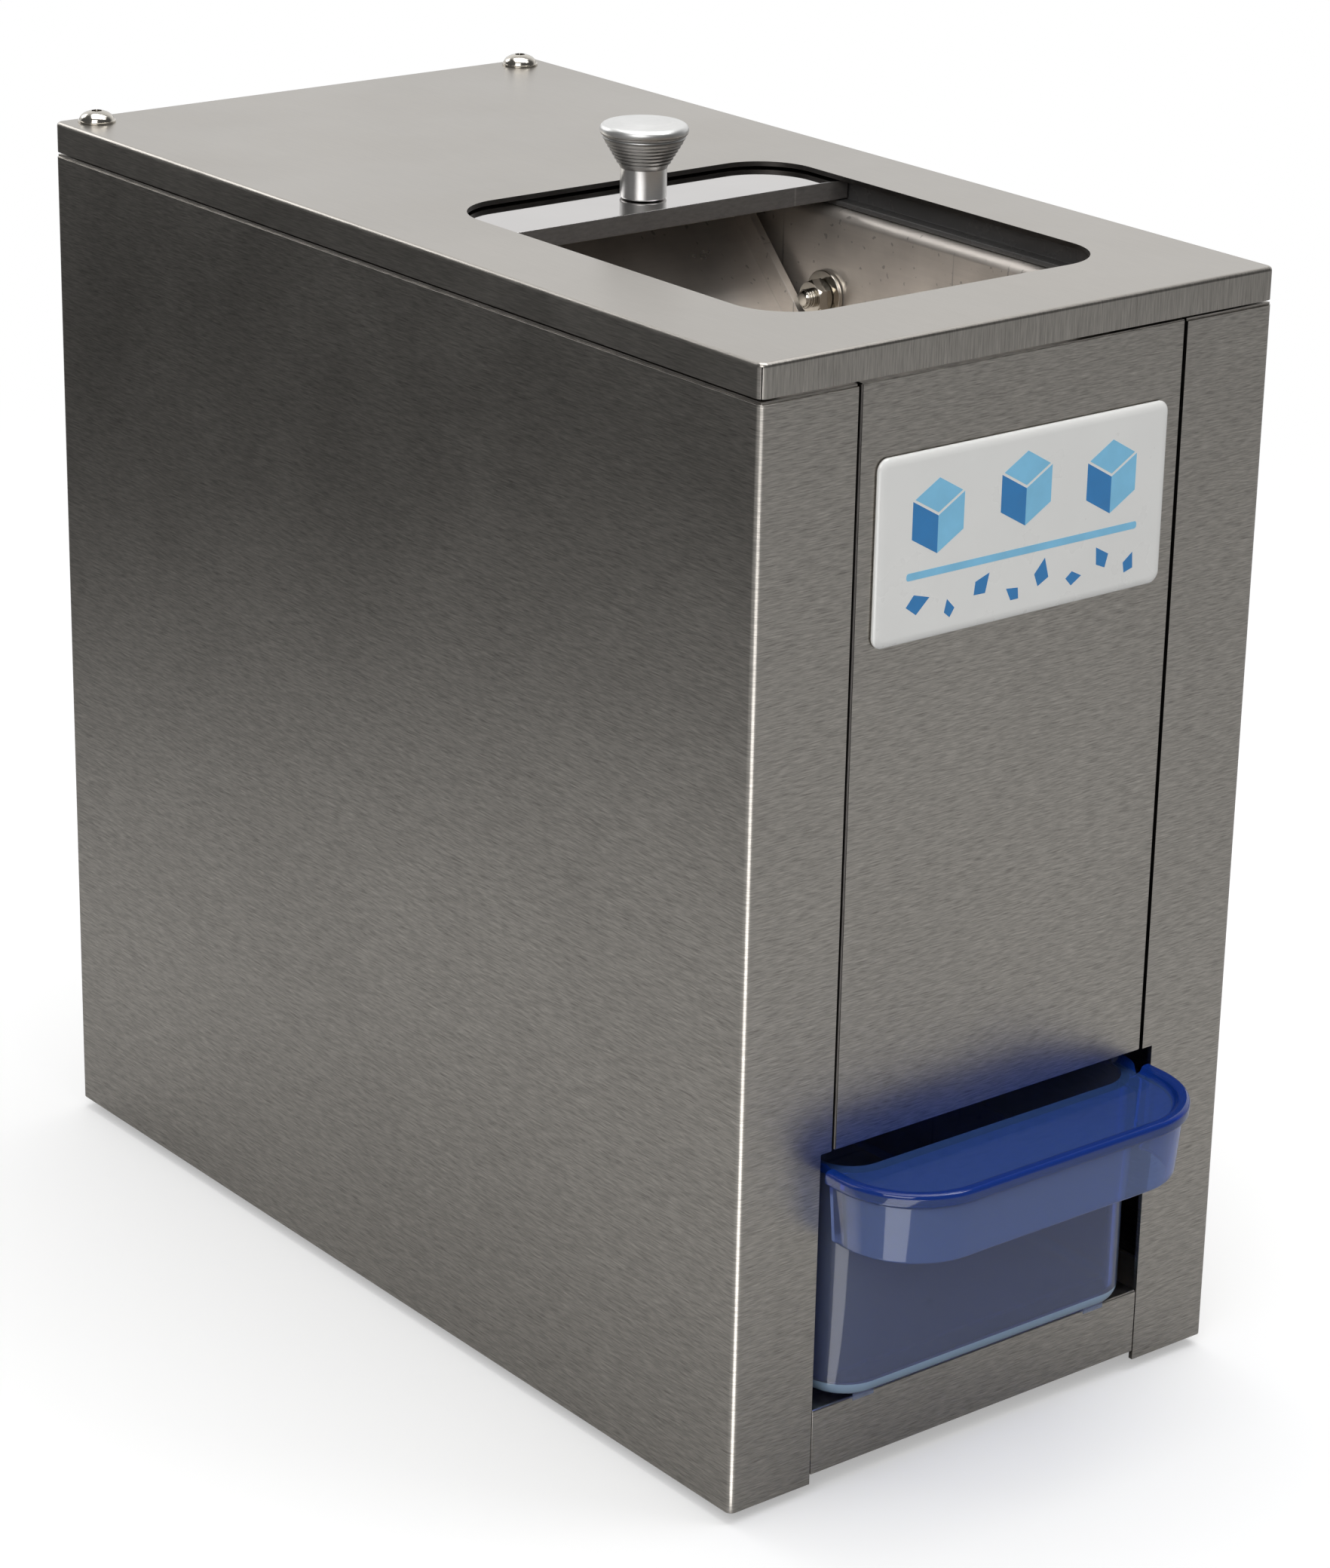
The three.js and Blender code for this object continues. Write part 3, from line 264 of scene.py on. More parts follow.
def turned(name, profile, centre, axis="Z", segments=64):
    """A solid of revolution from (radius, place) pairs that start and end on the axis."""
    bm = bmesh.new()
    rows = []
    for radius, place in profile:
        if radius < TINY:
            rows.append([bm.verts.new((0, 0, place))])
            continue
        rows.append([
            bm.verts.new((radius * math.cos(a), radius * math.sin(a), place))
            for a in (2 * math.pi * i / segments for i in range(segments))
        ])
    for low, high in zip(rows, rows[1:]):
        for i in range(segments):
            j = (i + 1) % segments
            ends = (low[i % len(low)], low[j % len(low)], high[j % len(high)], high[i % len(high)])
            corners = list(dict.fromkeys(ends))
            if len(corners) > 2:
                bm.faces.new(corners)
    turn = {"Z": Matrix.Identity(4), "Y": Matrix.Rotation(-math.pi / 2, 4, "X"),
            "X": Matrix.Rotation(math.pi / 2, 4, "Y")}[axis]
    bm.transform(Matrix.Translation(centre) @ turn)
    return closed(bm, name)


def hexagon_bar(centre, flats, start, end, axis="Z"):
    radius = flats / 2 / math.cos(math.pi / 6)
    profile = [(0, start), (radius, start), (radius, end), (0, end)]
    return turned("hexagon", profile, centre, axis, 6)


def bent(path, thickness, inside, steps=7):
    """Outline of a sheet of that thickness along a path with round bends."""
    points = [Vector(p) for p in path]
    radius = inside + thickness / 2
    line = [(points[0], (points[1] - points[0]).normalized())]
    for before, here, after in zip(points, points[1:], points[2:]):
        first, second = (here - before).normalized(), (after - here).normalized()
        turn = first.angle_signed(second) * -1
        reach = radius * math.tan(abs(turn) / 2)
        side = math.copysign(1, turn)
        start = here - first * reach
        centre = start + Vector((-first.y, first.x)) * side * radius
        for i in range(steps + 1):
            way = first.copy()
            way.rotate(Matrix.Rotation(turn * i / steps, 2))
            line.append((centre - Vector((-way.y, way.x)) * side * radius, way))
    line.append((points[-1], (points[-1] - points[-2]).normalized()))
    left = [p + Vector((-w.y, w.x)) * thickness / 2 for p, w in line]
    right = [p - Vector((-w.y, w.x)) * thickness / 2 for p, w in line]
    return right, left


def bent_sheet(name, path, thickness, inside, start, end, place):
    """A bent sheet pulled from start to end, place turning (u, v, w) into a point."""
    right, left = bent(path, thickness, inside)
    bm = bmesh.new()
    rows = [[[bm.verts.new(place(p.x, p.y, w)) for p in edge] for edge in (right, left)]
            for w in (start, end)]
    (r0, l0), (r1, l1) = rows
    for i in range(len(r0) - 1):
        bm.faces.new((r0[i], r0[i + 1], r1[i + 1], r1[i]))
        bm.faces.new((l0[i], l1[i], l1[i + 1], l0[i + 1]))
        bm.faces.new((r0[i], l0[i], l0[i + 1], r0[i + 1]))
        bm.faces.new((r1[i], r1[i + 1], l1[i + 1], l1[i]))
    for i in (0, -1):
        bm.faces.new((r0[i], r1[i], l1[i], l0[i]))
    return closed(bm, name)


@contextmanager
def editing(obj):
    """The object's mesh with its doubles merged, written back at the end."""
    bm = bmesh.new()
    bm.from_mesh(obj.data)
    bmesh.ops.remove_doubles(bm, verts=bm.verts, dist=TINY)
    yield bm
    bm.to_mesh(obj.data)
    bm.free()


def soften(obj, chosen, width):
    """Rounds the chosen edges."""
    with editing(obj) as bm:
        bmesh.ops.bevel(
            bm, geom=[e for e in bm.edges if chosen(e)], offset=width, offset_type="OFFSET",
            segments=3, profile=0.5, affect="EDGES", clamp_overlap=True,
        )


def clean(obj):
    """Makes the flat faces whole again."""
    with editing(obj) as bm:
        bmesh.ops.dissolve_limit(bm, angle_limit=math.radians(0.6), verts=bm.verts, edges=bm.edges)
    return obj


def finish_edges(obj, width, segments=2, angle=38):
    """Rounds every sharp edge a little and evens the shading of the flat faces."""
    obj.data.shade_smooth()
    if width:
        bevel = obj.modifiers.new("edges", "BEVEL")
        bevel.width, bevel.segments = width, segments
        bevel.limit_method, bevel.angle_limit = "ANGLE", math.radians(angle)
        bevel.miter_outer = "MITER_ARC"
    normals = obj.modifiers.new("shading", "WEIGHTED_NORMAL")
    normals.keep_sharp = False
    return flatten(obj)


def done(obj, body, finish, *nodes):
    """Gives a finished piece its finish, its body and the nodes it stands for."""
    obj.data.materials.clear()
    obj.data.materials.append(MATERIALS[finish])
    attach(obj, body)
    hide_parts(*nodes)


def refined(node, body, finish, width=0.22 * MM):
    """A copy of a frame node with its faces made whole and its edges rounded."""
    copy = bpy.data.objects.new(f"{node}_piece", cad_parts[node].data.copy())
    bpy.context.scene.collection.objects.link(copy)
    finish_edges(clean(copy), width)
    done(copy, body, finish, node)


# ---------------------------------------------------------------- nodes


def wire(tree, kind, links=(), **settings):
    """Adds a node whose inputs take sockets, nodes for their first output, or plain values."""
    node = tree.nodes.new(kind)
    for key, value in settings.items():
        setattr(node, key, value)
    for target, source in links:
        if isinstance(source, bpy.types.Node):
            source = source.outputs[0]
        if isinstance(source, bpy.types.NodeSocket):
            tree.links.new(source, node.inputs[target])
        else:
            node.inputs[target].default_value = source
    return node


def maths(tree, operation, *values):
    return wire(tree, "ShaderNodeMath", enumerate(values), operation=operation).outputs[0]


def node_tree(name, inputs):
    """A geometry tree with named inputs; gives the tree, those inputs and a node maker."""
    tree = bpy.data.node_groups.new(name, "GeometryNodeTree")
    tree.is_modifier = True
    for label, kind, default in inputs:
        socket = tree.interface.new_socket(label, in_out="INPUT", socket_type=kind)
        if default is not None:
            socket.default_value = default
    tree.interface.new_socket("Geometry", in_out="OUTPUT", socket_type="NodeSocketGeometry")
    return tree, tree.nodes.new("NodeGroupInput").outputs, partial(wire, tree)


def close_tree(tree, add, geometry, material):
    """Every tree ends by realising its copies and setting their material."""
    real = add("GeometryNodeRealizeInstances", [("Geometry", geometry)])
    dressed = add("GeometryNodeSetMaterial", [
        ("Geometry", real.outputs["Geometry"]), ("Material", material),
    ])
    out = add("NodeGroupOutput")
    tree.links.new(dressed.outputs["Geometry"], out.inputs["Geometry"])


def grown(name, tree, finish, **values):
    """Runs a geometry tree with these inputs and keeps the result as a plain mesh."""
    values = {label.replace("_", " "): value for label, value in values.items()}
    values["Material"] = MATERIALS[finish]
    mesh = bpy.data.meshes.new(name)
    made = bpy.data.objects.new(name, mesh)
    bpy.context.scene.collection.objects.link(made)
    modifier = made.modifiers.new(name, "NODES")
    modifier.node_group = tree
    for item in tree.interface.items_tree:
        if item.in_out == "INPUT" and item.name in values:
            modifier[item.identifier] = values[item.name]
    return flatten(made)


def rectangle_of_copies():
    """Copies of one object on a grid of columns and rows across X and a second direction."""
    tree, given, add = node_tree("Copies on a grid", [
        ("Copy", "NodeSocketObject", None), ("Columns", "NodeSocketInt", 2),
        ("Rows", "NodeSocketInt", 1), ("Step across", "NodeSocketFloat", 0.1),
        ("Step along", "NodeSocketVector", (0, 0, 0.1)), ("First", "NodeSocketVector", (0, 0, 0)),
        ("Material", "NodeSocketMaterial", None),
    ])
    total = maths(tree, "MULTIPLY", given["Columns"], given["Rows"])
    points = add("GeometryNodePoints", [("Count", total)])
    index = add("GeometryNodeInputIndex").outputs[0]
    row = maths(tree, "FLOOR", maths(tree, "DIVIDE", index, given["Columns"]))
    column = maths(tree, "MODULO", index, given["Columns"])
    across = maths(tree, "MULTIPLY", column, given["Step across"])
    sideways = add("ShaderNodeCombineXYZ", [("X", across)])
    upward = add("ShaderNodeVectorMath", [
        (0, given["Step along"]), ("Scale", row),
    ], operation="SCALE")
    offset = add("ShaderNodeVectorMath", [(0, sideways), (1, upward)], operation="ADD")
    place = add("ShaderNodeVectorMath", [(0, offset), (1, given["First"])], operation="ADD")
    moved = add("GeometryNodeSetPosition", [("Geometry", points), ("Position", place)])
    source = add("GeometryNodeObjectInfo", [("Object", given["Copy"])])
    copies = add("GeometryNodeInstanceOnPoints", [
        ("Points", moved), ("Instance", source.outputs["Geometry"]),
    ])
    close_tree(tree, add, copies.outputs[0], given["Material"])
    return tree


def thread_tree():
    """A helical ridge along X: one turn for each pitch."""
    tree, given, add = node_tree("Screw thread", [
        ("Radius", "NodeSocketFloat", 0.003), ("Length", "NodeSocketFloat", 0.008),
        ("Pitch", "NodeSocketFloat", 0.001), ("Start", "NodeSocketVector", (0, 0, 0)),
        ("Way", "NodeSocketVector", (0, math.pi / 2, 0)), ("Material", "NodeSocketMaterial", None),
    ])
    turns = maths(tree, "DIVIDE", given["Length"], given["Pitch"])
    helix = add("GeometryNodeCurveSpiral", [
        ("Resolution", 40), ("Rotations", turns),
        ("Start Radius", given["Radius"]), ("End Radius", given["Radius"]),
        ("Height", given["Length"]),
    ])
    ridge = maths(tree, "MULTIPLY", given["Pitch"], 0.36)
    section = add("GeometryNodeCurvePrimitiveCircle", [("Resolution", 4), ("Radius", ridge)])
    swept = add("GeometryNodeCurveToMesh", [
        ("Curve", helix), ("Profile Curve", section.outputs["Curve"]),
        ("Fill Caps", True),
    ])
    placed = add("GeometryNodeTransform", [
        ("Geometry", swept), ("Translation", given["Start"]),
        ("Rotation", given["Way"]),
    ])
    close_tree(tree, add, placed.outputs[0], given["Material"])
    return tree


def ring_tree():
    """Fine beads stacked up a flare, each wider than the one below."""
    tree, given, add = node_tree("Rings up a flare", [
        ("Count", "NodeSocketInt", 5), ("Step", "NodeSocketFloat", 0.002),
        ("First radius", "NodeSocketFloat", 0.008), ("Growth", "NodeSocketFloat", 0.001),
        ("Bead", "NodeSocketFloat", 0.0004), ("Foot", "NodeSocketVector", (0, 0, 0)),
        ("Material", "NodeSocketMaterial", None),
    ])
    up = add("ShaderNodeCombineXYZ", [("Z", given["Step"])])
    line = add("GeometryNodeMeshLine", [
        ("Count", given["Count"]), ("Start Location", given["Foot"]),
        ("Offset", up),
    ])
    index = add("GeometryNodeInputIndex").outputs[0]
    radius = maths(tree, "MULTIPLY_ADD", index, given["Growth"], given["First radius"])
    circle = add("GeometryNodeCurvePrimitiveCircle", [("Resolution", 96), ("Radius", 1.0)])
    circles = add("GeometryNodeInstanceOnPoints", [
        ("Points", line), ("Instance", circle.outputs["Curve"]),
        ("Scale", radius),
    ])
    real = add("GeometryNodeRealizeInstances", [("Geometry", circles)])
    bead = add("GeometryNodeCurvePrimitiveCircle", [("Resolution", 10), ("Radius", given["Bead"])])
    swept = add("GeometryNodeCurveToMesh", [
        ("Curve", real), ("Profile Curve", bead.outputs["Curve"]),
    ])
    close_tree(tree, add, swept.outputs[0], given["Material"])
    return tree


# ---------------------------------------------------------------- shader node groups


def effect_group(name, outputs, **inputs):
    """A shader group that takes a place and these inputs, and puts out plain numbers."""
    group = bpy.data.node_groups.new(name, "ShaderNodeTree")
    for label, default in {"Place": (0, 0, 0), **inputs}.items():
        kind = "NodeSocketVector" if isinstance(default, tuple) else "NodeSocketFloat"
        socket = group.interface.new_socket(label, in_out="INPUT", socket_type=kind)
        socket.default_value = default
    for label in outputs:
        group.interface.new_socket(label, in_out="OUTPUT", socket_type="NodeSocketFloat")
    given, out = group.nodes.new("NodeGroupInput"), group.nodes.new("NodeGroupOutput")
    return group, given.outputs, out.inputs


def brushed_grain():
    """Long fine strokes: a shade that varies round one, and a height."""
    group, given, out = effect_group(
        "Brushed grain", ("Shade", "Height"), Stroke=(90, 90, 2200), Contrast=0.3)
    stretched = wire(group, "ShaderNodeVectorMath", [
        (0, given["Place"]), (1, given["Stroke"]),
    ], operation="MULTIPLY")
    coarse, fine = (wire(group, "ShaderNodeTexNoise", [
        ("Vector", stretched), ("Scale", scale), ("Detail", 2.0), ("Roughness", 0.6),
    ]).outputs[0] for scale in (1.0, 0.62))
    height = maths(group, "ADD", coarse, fine)
    centred = maths(group, "SUBTRACT", height, 1.0)
    shade = maths(group, "MULTIPLY_ADD", centred, given["Contrast"], 1.0)
    group.links.new(shade, out["Shade"])
    group.links.new(height, out["Height"])
    return group


def fine_scratches():
    """A few thin long marks in changing directions."""
    group, given, out = effect_group("Fine scratches", ("Mask",), Amount=0.5)
    masks = []
    for angle, stretch in (((0.2, 0.5, 0.9), (9, 420, 420)), ((1.1, -0.4, 0.3), (420, 420, 12))):
        turned_place = wire(group, "ShaderNodeMapping", [
            ("Vector", given["Place"]), ("Rotation", angle), ("Scale", stretch),
        ])
        noise = wire(group, "ShaderNodeTexNoise", [
            ("Vector", turned_place), ("Scale", 1.0), ("Detail", 1.0),
        ])
        masks.append(wire(group, "ShaderNodeMapRange", [
            ("Value", noise), ("From Min", 0.70), ("From Max", 0.74),
        ]).outputs[0])
    mask = maths(group, "MULTIPLY", maths(group, "MAXIMUM", *masks), given["Amount"])
    group.links.new(mask, out["Mask"])
    return group


def smudges():
    """Large soft patches, as of wiped and handled metal."""
    group, given, out = effect_group("Smudges", ("Value",), Size=14.0, Low=0.9, High=1.1)
    noise = wire(group, "ShaderNodeTexNoise", [
        ("Vector", given["Place"]), ("Scale", given["Size"]), ("Detail", 4.0),
        ("Roughness", 0.55),
    ])
    spread = wire(group, "ShaderNodeMapRange", [
        ("Value", noise), ("From Min", 0.3), ("From Max", 0.7),
        ("To Min", given["Low"]), ("To Max", given["High"]),
    ])
    group.links.new(spread.outputs[0], out["Value"])
    return group


def specks():
    """Small sparse grains of dust."""
    group, given, out = effect_group("Specks", ("Mask",), Size=260.0, Reach=0.07)
    cells = wire(group, "ShaderNodeTexVoronoi", [
        ("Vector", given["Place"]), ("Scale", given["Size"]),
    ])
    group.links.new(
        maths(group, "LESS_THAN", cells.outputs["Distance"], given["Reach"]), out["Mask"],
    )
    return group


# ---------------------------------------------------------------- materials

GROUPS = {}
MATERIALS = {}


class Material:
    """A material with its own Principled shader, fed by the shared effects."""

    def __init__(self, name, base, roughness, metallic=0.0, **plain):
        self.material = bpy.data.materials.new(name)
        self.material.use_nodes = True
        self.tree = self.material.node_tree
        self.shader = self.tree.nodes["Principled BSDF"]
        self.base, self.roughness = (*base, 1.0), roughness
        self.shader.inputs["Base Color"].default_value = self.base
        self.shader.inputs["Roughness"].default_value = roughness
        self.shader.inputs["Metallic"].default_value = metallic
        for label, value in plain.items():
            self.shader.inputs[label.replace("_", " ")].default_value = value
        self.place = self.add("ShaderNodeTexCoord").outputs["Object"]
        self.material.diffuse_color = self.base
        MATERIALS[name] = self.material

    def add(self, kind, links=(), **settings):
        return wire(self.tree, kind, links, **settings)

    def effect(self, name, **values):
        node = self.add("ShaderNodeGroup")
        node.node_tree = GROUPS[name]
        self.tree.links.new(self.place, node.inputs["Place"])
        for label, value in values.items():
            node.inputs[label].default_value = value
        return node

    def patches(self, size, low, high):
        """A value that varies softly between two numbers, over patches of about one size."""
        return self.effect("Smudges", Size=size, Low=low, High=high).outputs[0]

    def math(self, operation, *values):
        return maths(self.tree, operation, *values)

    def noise(self, scale, detail):
        return self.add("ShaderNodeTexNoise", [
            ("Vector", self.place), ("Scale", scale), ("Detail", detail),
        ])

    def facing(self, axis):
        """One on faces that look along the axis, nought elsewhere."""
        normal = self.add("ShaderNodeNewGeometry").outputs["Normal"]
        parts = self.add("ShaderNodeSeparateXYZ", [("Vector", normal)])
        return self.math("GREATER_THAN", self.math("ABSOLUTE", parts.outputs[axis]), 0.7)

    def shade(self, *factors):
        """Multiplies the base colour by values that vary round one."""
        factor = factors[0]
        for other in factors[1:]:
            factor = self.math("MULTIPLY", factor, other)
        scaled = self.add("ShaderNodeVectorMath", [
            (0, self.base[:3]), ("Scale", factor),
        ], operation="SCALE")
        self.colour(scaled.outputs[0])

    def colour(self, socket):
        self.tree.links.new(socket, self.shader.inputs["Base Color"])

    def rough(self, factor):
        self.tree.links.new(
            self.math("MULTIPLY", factor, self.roughness), self.shader.inputs["Roughness"],
        )

    def bump(self, height, strength, distance):
        node = self.add("ShaderNodeBump", [
            ("Height", height), ("Strength", strength), ("Distance", distance),
        ])
        self.tree.links.new(node.outputs[0], self.shader.inputs["Normal"])


def brushed(name, stroke, contrasts, side_stroke=None):
    """Brushed sheet, with one contrast on upright faces and another on level ones."""
    made = Material(name, colours().panels, 0.30, metallic=1.0)
    level = made.facing("Z")
    contrast = made.math("MULTIPLY_ADD", level, contrasts[1] - contrasts[0], contrasts[0])
    grain = made.effect("Brushed grain", Stroke=stroke)
    made.tree.links.new(contrast, grain.inputs["Contrast"])
    shade, height = grain.outputs["Shade"], grain.outputs["Height"]
    if side_stroke:
        side = made.effect("Brushed grain", Stroke=side_stroke)
        made.tree.links.new(contrast, side.inputs["Contrast"])
        mask = made.facing("X")
        shade = made.add("ShaderNodeMix", [(0, mask), (2, shade), (3, side.outputs["Shade"])])
        height = made.add("ShaderNodeMix", [(0, mask), (2, height), (3, side.outputs["Height"])])
        shade, height = shade.outputs[0], height.outputs[0]
    made.shade(shade, made.patches(9.0, 0.95, 1.04))
    made.rough(made.patches(21.0, 0.92, 1.12))
    made.bump(height, 0.10, 0.00008)


def plain_steel():
    made = Material("Inner steel", colours().inner, 0.38, metallic=0.82)
    grain = made.effect("Brushed grain", Stroke=(60, 45, 900), Contrast=0.10)
    stains = made.patches(26.0, 0.80, 1.14)
    scratches = made.effect("Fine scratches", Amount=0.35)
    marks = made.math("SUBTRACT", 1.0, scratches.outputs[0])
    made.shade(grain.outputs["Shade"], stains, marks)
    made.rough(made.patches(40.0, 0.7, 1.35))
    made.bump(grain.outputs["Height"], 0.06, 0.0001)


def polished_steel():
    made = Material("Mirror cover", colours().mirror, 0.035, metallic=1.0)
    made.shade(made.patches(30.0, 0.96, 1.02))
    made.rough(made.patches(60.0, 0.7, 1.8))


def cut_edge():
    made = Material("Cover edge", (0.115, 0.108, 0.103), 0.40, metallic=0.3)
    grain = made.effect("Brushed grain", Stroke=(500, 500, 1500), Contrast=0.45)
    scratches = made.effect("Fine scratches", Amount=0.5)
    made.shade(grain.outputs["Shade"], made.math("ADD", 1.0, scratches.outputs[0]))
    made.rough(made.patches(90.0, 0.7, 1.3))
    made.bump(grain.outputs["Height"], 0.15, 0.0001)


def satin_aluminium(name, base, roughness):
    made = Material(name, base, roughness, metallic=1.0)
    grain = made.effect("Brushed grain", Stroke=(260, 260, 5200), Contrast=0.10)
    made.shade(grain.outputs["Shade"])
    made.rough(made.patches(80.0, 0.85, 1.2))
    made.bump(grain.outputs["Height"], 0.05, 0.00005)


def bright_metal(name, base, roughness):
    made = Material(name, base, roughness, metallic=1.0)
    made.shade(made.patches(160.0, 0.82, 1.08))
    marks = made.effect("Fine scratches", Amount=1.0)
    made.rough(made.math("MULTIPLY_ADD", marks.outputs[0], 0.6, 1.0))


def cast_metal(name, base, roughness, metallic=1.0):
    made = Material(name, base, roughness, metallic=metallic)
    skin = made.noise(900.0, 3.0)
    made.shade(made.patches(40.0, 0.85, 1.1))
    made.rough(made.patches(70.0, 0.85, 1.15))
    made.bump(skin, 0.25, 0.0002)


def moulded(name, base, roughness, grain=1400.0, strength=0.12):
    made = Material(name, base, roughness)
    skin = made.noise(grain, 2.0)
    dust = made.effect("Specks", Size=300.0, Reach=0.045)
    lighter = made.math("MULTIPLY_ADD", dust.outputs[0], 1.5, 1.0)
    made.shade(made.patches(30.0, 0.9, 1.1), lighter)
    made.rough(made.patches(50.0, 0.8, 1.2))
    made.bump(skin, strength, 0.0001)


def clear_blue(name, base, transmission, falloff):
    """Clear plastic that darkens with depth; its colour is painted paler where it turns away, as a
    sheen.
    """
    made = Material(name, base, 0.05, IOR=1.52, Transmission_Weight=transmission)
    turned_away = made.add("ShaderNodeLayerWeight", [("Blend", 0.35)]).outputs["Facing"]
    # Painted sheen: the colour turns towards the pale blue where the surface turns away.
    pale = made.add("ShaderNodeMix", [
        (0, made.math("POWER", turned_away, falloff)), (6, (*base, 1.0)),
        (7, (*colours().blue_painted_highlight, 1.0)),
    ], data_type="RGBA")
    made.colour(pale.outputs[2])
    made.rough(made.patches(45.0, 0.6, 1.9))
    flow = made.noise(38.0, 1.5)
    made.bump(flow, 0.10, 0.0006)
    depth = made.add("ShaderNodeVolumeAbsorption", [
        ("Color", (*colours().blue_depth, 1.0)), ("Density", 260.0),
    ])
    made.tree.links.new(depth.outputs[0], made.tree.nodes["Material Output"].inputs["Volume"])


def resin_label():
    made = Material("Badge", colours().badge, 0.30, Coat_Weight=1.0, Coat_Roughness=0.06)
    made.shade(made.patches(22.0, 0.97, 1.02))
    made.rough(made.patches(60.0, 0.8, 1.2))


def printed(name, base):
    made = Material(name, base, 0.32, Coat_Weight=1.0, Coat_Roughness=0.06)
    made.shade(made.patches(120.0, 0.94, 1.05))


def make_materials():
    for make in (brushed_grain, fine_scratches, smudges, specks):
        group = make()
        GROUPS[group.name] = group
    brushed("Brushed panels", (260, 260, 3800), (1.0, 1.0))
    brushed("Brushed cover", (3300, 90, 150), (0.80, 0.10), (150, 200, 3300))
    plain_steel()
    polished_steel()
    cut_edge()
    satin_aluminium("Satin knob", colours().satin, 0.36)
    # A darker copy of the knob's aluminium: painted shade and reflection for the flare's downward
    # faces and its rings.
    satin_aluminium("Satin flare", (0.30, 0.292, 0.28), 0.44)
    bright_metal("Bright fixings", colours().bright, 0.16)
    bright_metal("Cut gears", (0.33, 0.31, 0.29), 0.34)
    # Dark steel painted on as shade: on the bends beside the front panel's gaps and on the fill
    # opening's cut edges.
    bright_metal("Groove", (0.075, 0.07, 0.066), 0.40)
    bright_metal("Bronze", colours().bronze, 0.32)
    cast_metal("Cast alloy", colours().alloy, 0.45)
    cast_metal("Motor paint", colours().motor, 0.42, metallic=0.0)
    cast_metal("Laminations", colours().iron, 0.5)
    moulded("Black plastic", colours().black, 0.38)
    moulded("Rail", (0.075, 0.073, 0.072), 0.26)
    moulded("Grey plastic", colours().grey, 0.42)
    moulded("Rubber", colours().rubber, 0.75, grain=2200.0, strength=0.3)
    clear_blue("Blue plastic", colours().blue, 0.86, 2.4)
    # Copies of the one clear blue with painted light: lip, shelf and rim darker as painted shade,
    # the edge pale as a painted highlight.
    clear_blue("Blue lip", colours().blue_lip_painted_shade, 0.75, 7.0)
    clear_blue("Blue shelf", colours().blue_shelf_painted_shade, 0.82, 7.0)
    clear_blue("Blue rim", colours().blue_rim_painted_shade, 0.72, 9.0)
    clear_blue("Blue edge", colours().blue_painted_highlight, 0.48, 2.0)
    resin_label()
    printed("Badge dark", colours().print_dark)
    printed("Badge light", colours().print_light)


# ---------------------------------------------------------------- casing


def near(a, b, reach=2 * TINY):
    return abs(a - b) < reach


def along_plane(axis, place):
    """Picks the sharp edges that lie in a plane across the axis."""
    number = "XYZ".index(axis)

    def chosen(edge):
        faces = edge.link_faces
        return (all(near(v.co[number], place) for v in edge.verts) and len(faces) == 2
                and faces[0].normal.angle(faces[1].normal, 0) > 1.0)

    return chosen


def both_of(first, second):
    return lambda edge: first(edge) and second(edge)


def paint_gap_shade(obj, low, high):
    """Paints shade on the faces that turn sideways between two distances from the machine's middle:
    the bends beside the gaps, given a dark steel.
    """
    obj.data.materials.append(MATERIALS["Groove"])
    for face in obj.data.polygons:
        if low < abs(face.center.x) < high and abs(face.normal.x) > 0.2:
            face.material_index = len(obj.data.materials) - 1


def side_panel(side, sign):
    """One bent sheet: back return, side, front strip and its inner return, flanged on top."""
    size = sizes()
    sheet = size.sheet
    low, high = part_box(f"side_panel_{side}")
    outer = low.x if sign < 0 else high.x
    strip = high.x if sign < 0 else low.x
    back_return, front_return = 15 * MM, 12 * MM
    flange_end, front_flange_end = 73 * MM, 75 * MM  # from the machine's middle
    top_rounding, notch_depth, sill_gap = 0.7 * MM, 5 * MM, 0.3 * MM
    half = sheet / 2
    wall = bent_sheet(f"side_panel_{side}_sheet", [
        (outer - sign * back_return, high.y - half), (outer - sign * half, high.y - half),
        (outer - sign * half, low.y + half), (strip, low.y + half),
    ], sheet, size.bend, low.z, high.z - half, lambda u, v, w: (u, v, w))
    flange = block(*sorted((sign * flange_end, outer - sign * half)),
                   low.y + half, high.y - half, high.z - sheet, high.z)
    front_flange = block(*sorted((strip, sign * front_flange_end)),
                         low.y + half, low.y + front_return, high.z - sheet, high.z)
    strip_return = block(*sorted((strip, strip + sign * sheet)),
                         low.y + half, low.y + front_return, low.z, high.z - half)
    join(wall, flange, front_flange, strip_return)
    for plane in (("X", outer), ("Y", low.y)):
        soften(wall, both_of(along_plane("Z", high.z), along_plane(*plane)), top_rounding)
    sill_half = SILL[1].x + sill_gap
    notch = sorted((strip - sign * notch_depth, sign * sill_half))
    cut(wall, block(*notch, low.y - MM, low.y + front_return + MM, low.z - MM, PANEL[0].z))
    finish_edges(wall, size.edge)
    done(wall, "cabinet", "Brushed panels", f"side_panel_{side}")
    # Painted shade on the strip's inner bend, beside the gap to the front panel.
    paint_gap_shade(wall, abs(strip) - MM, abs(strip) + MM)


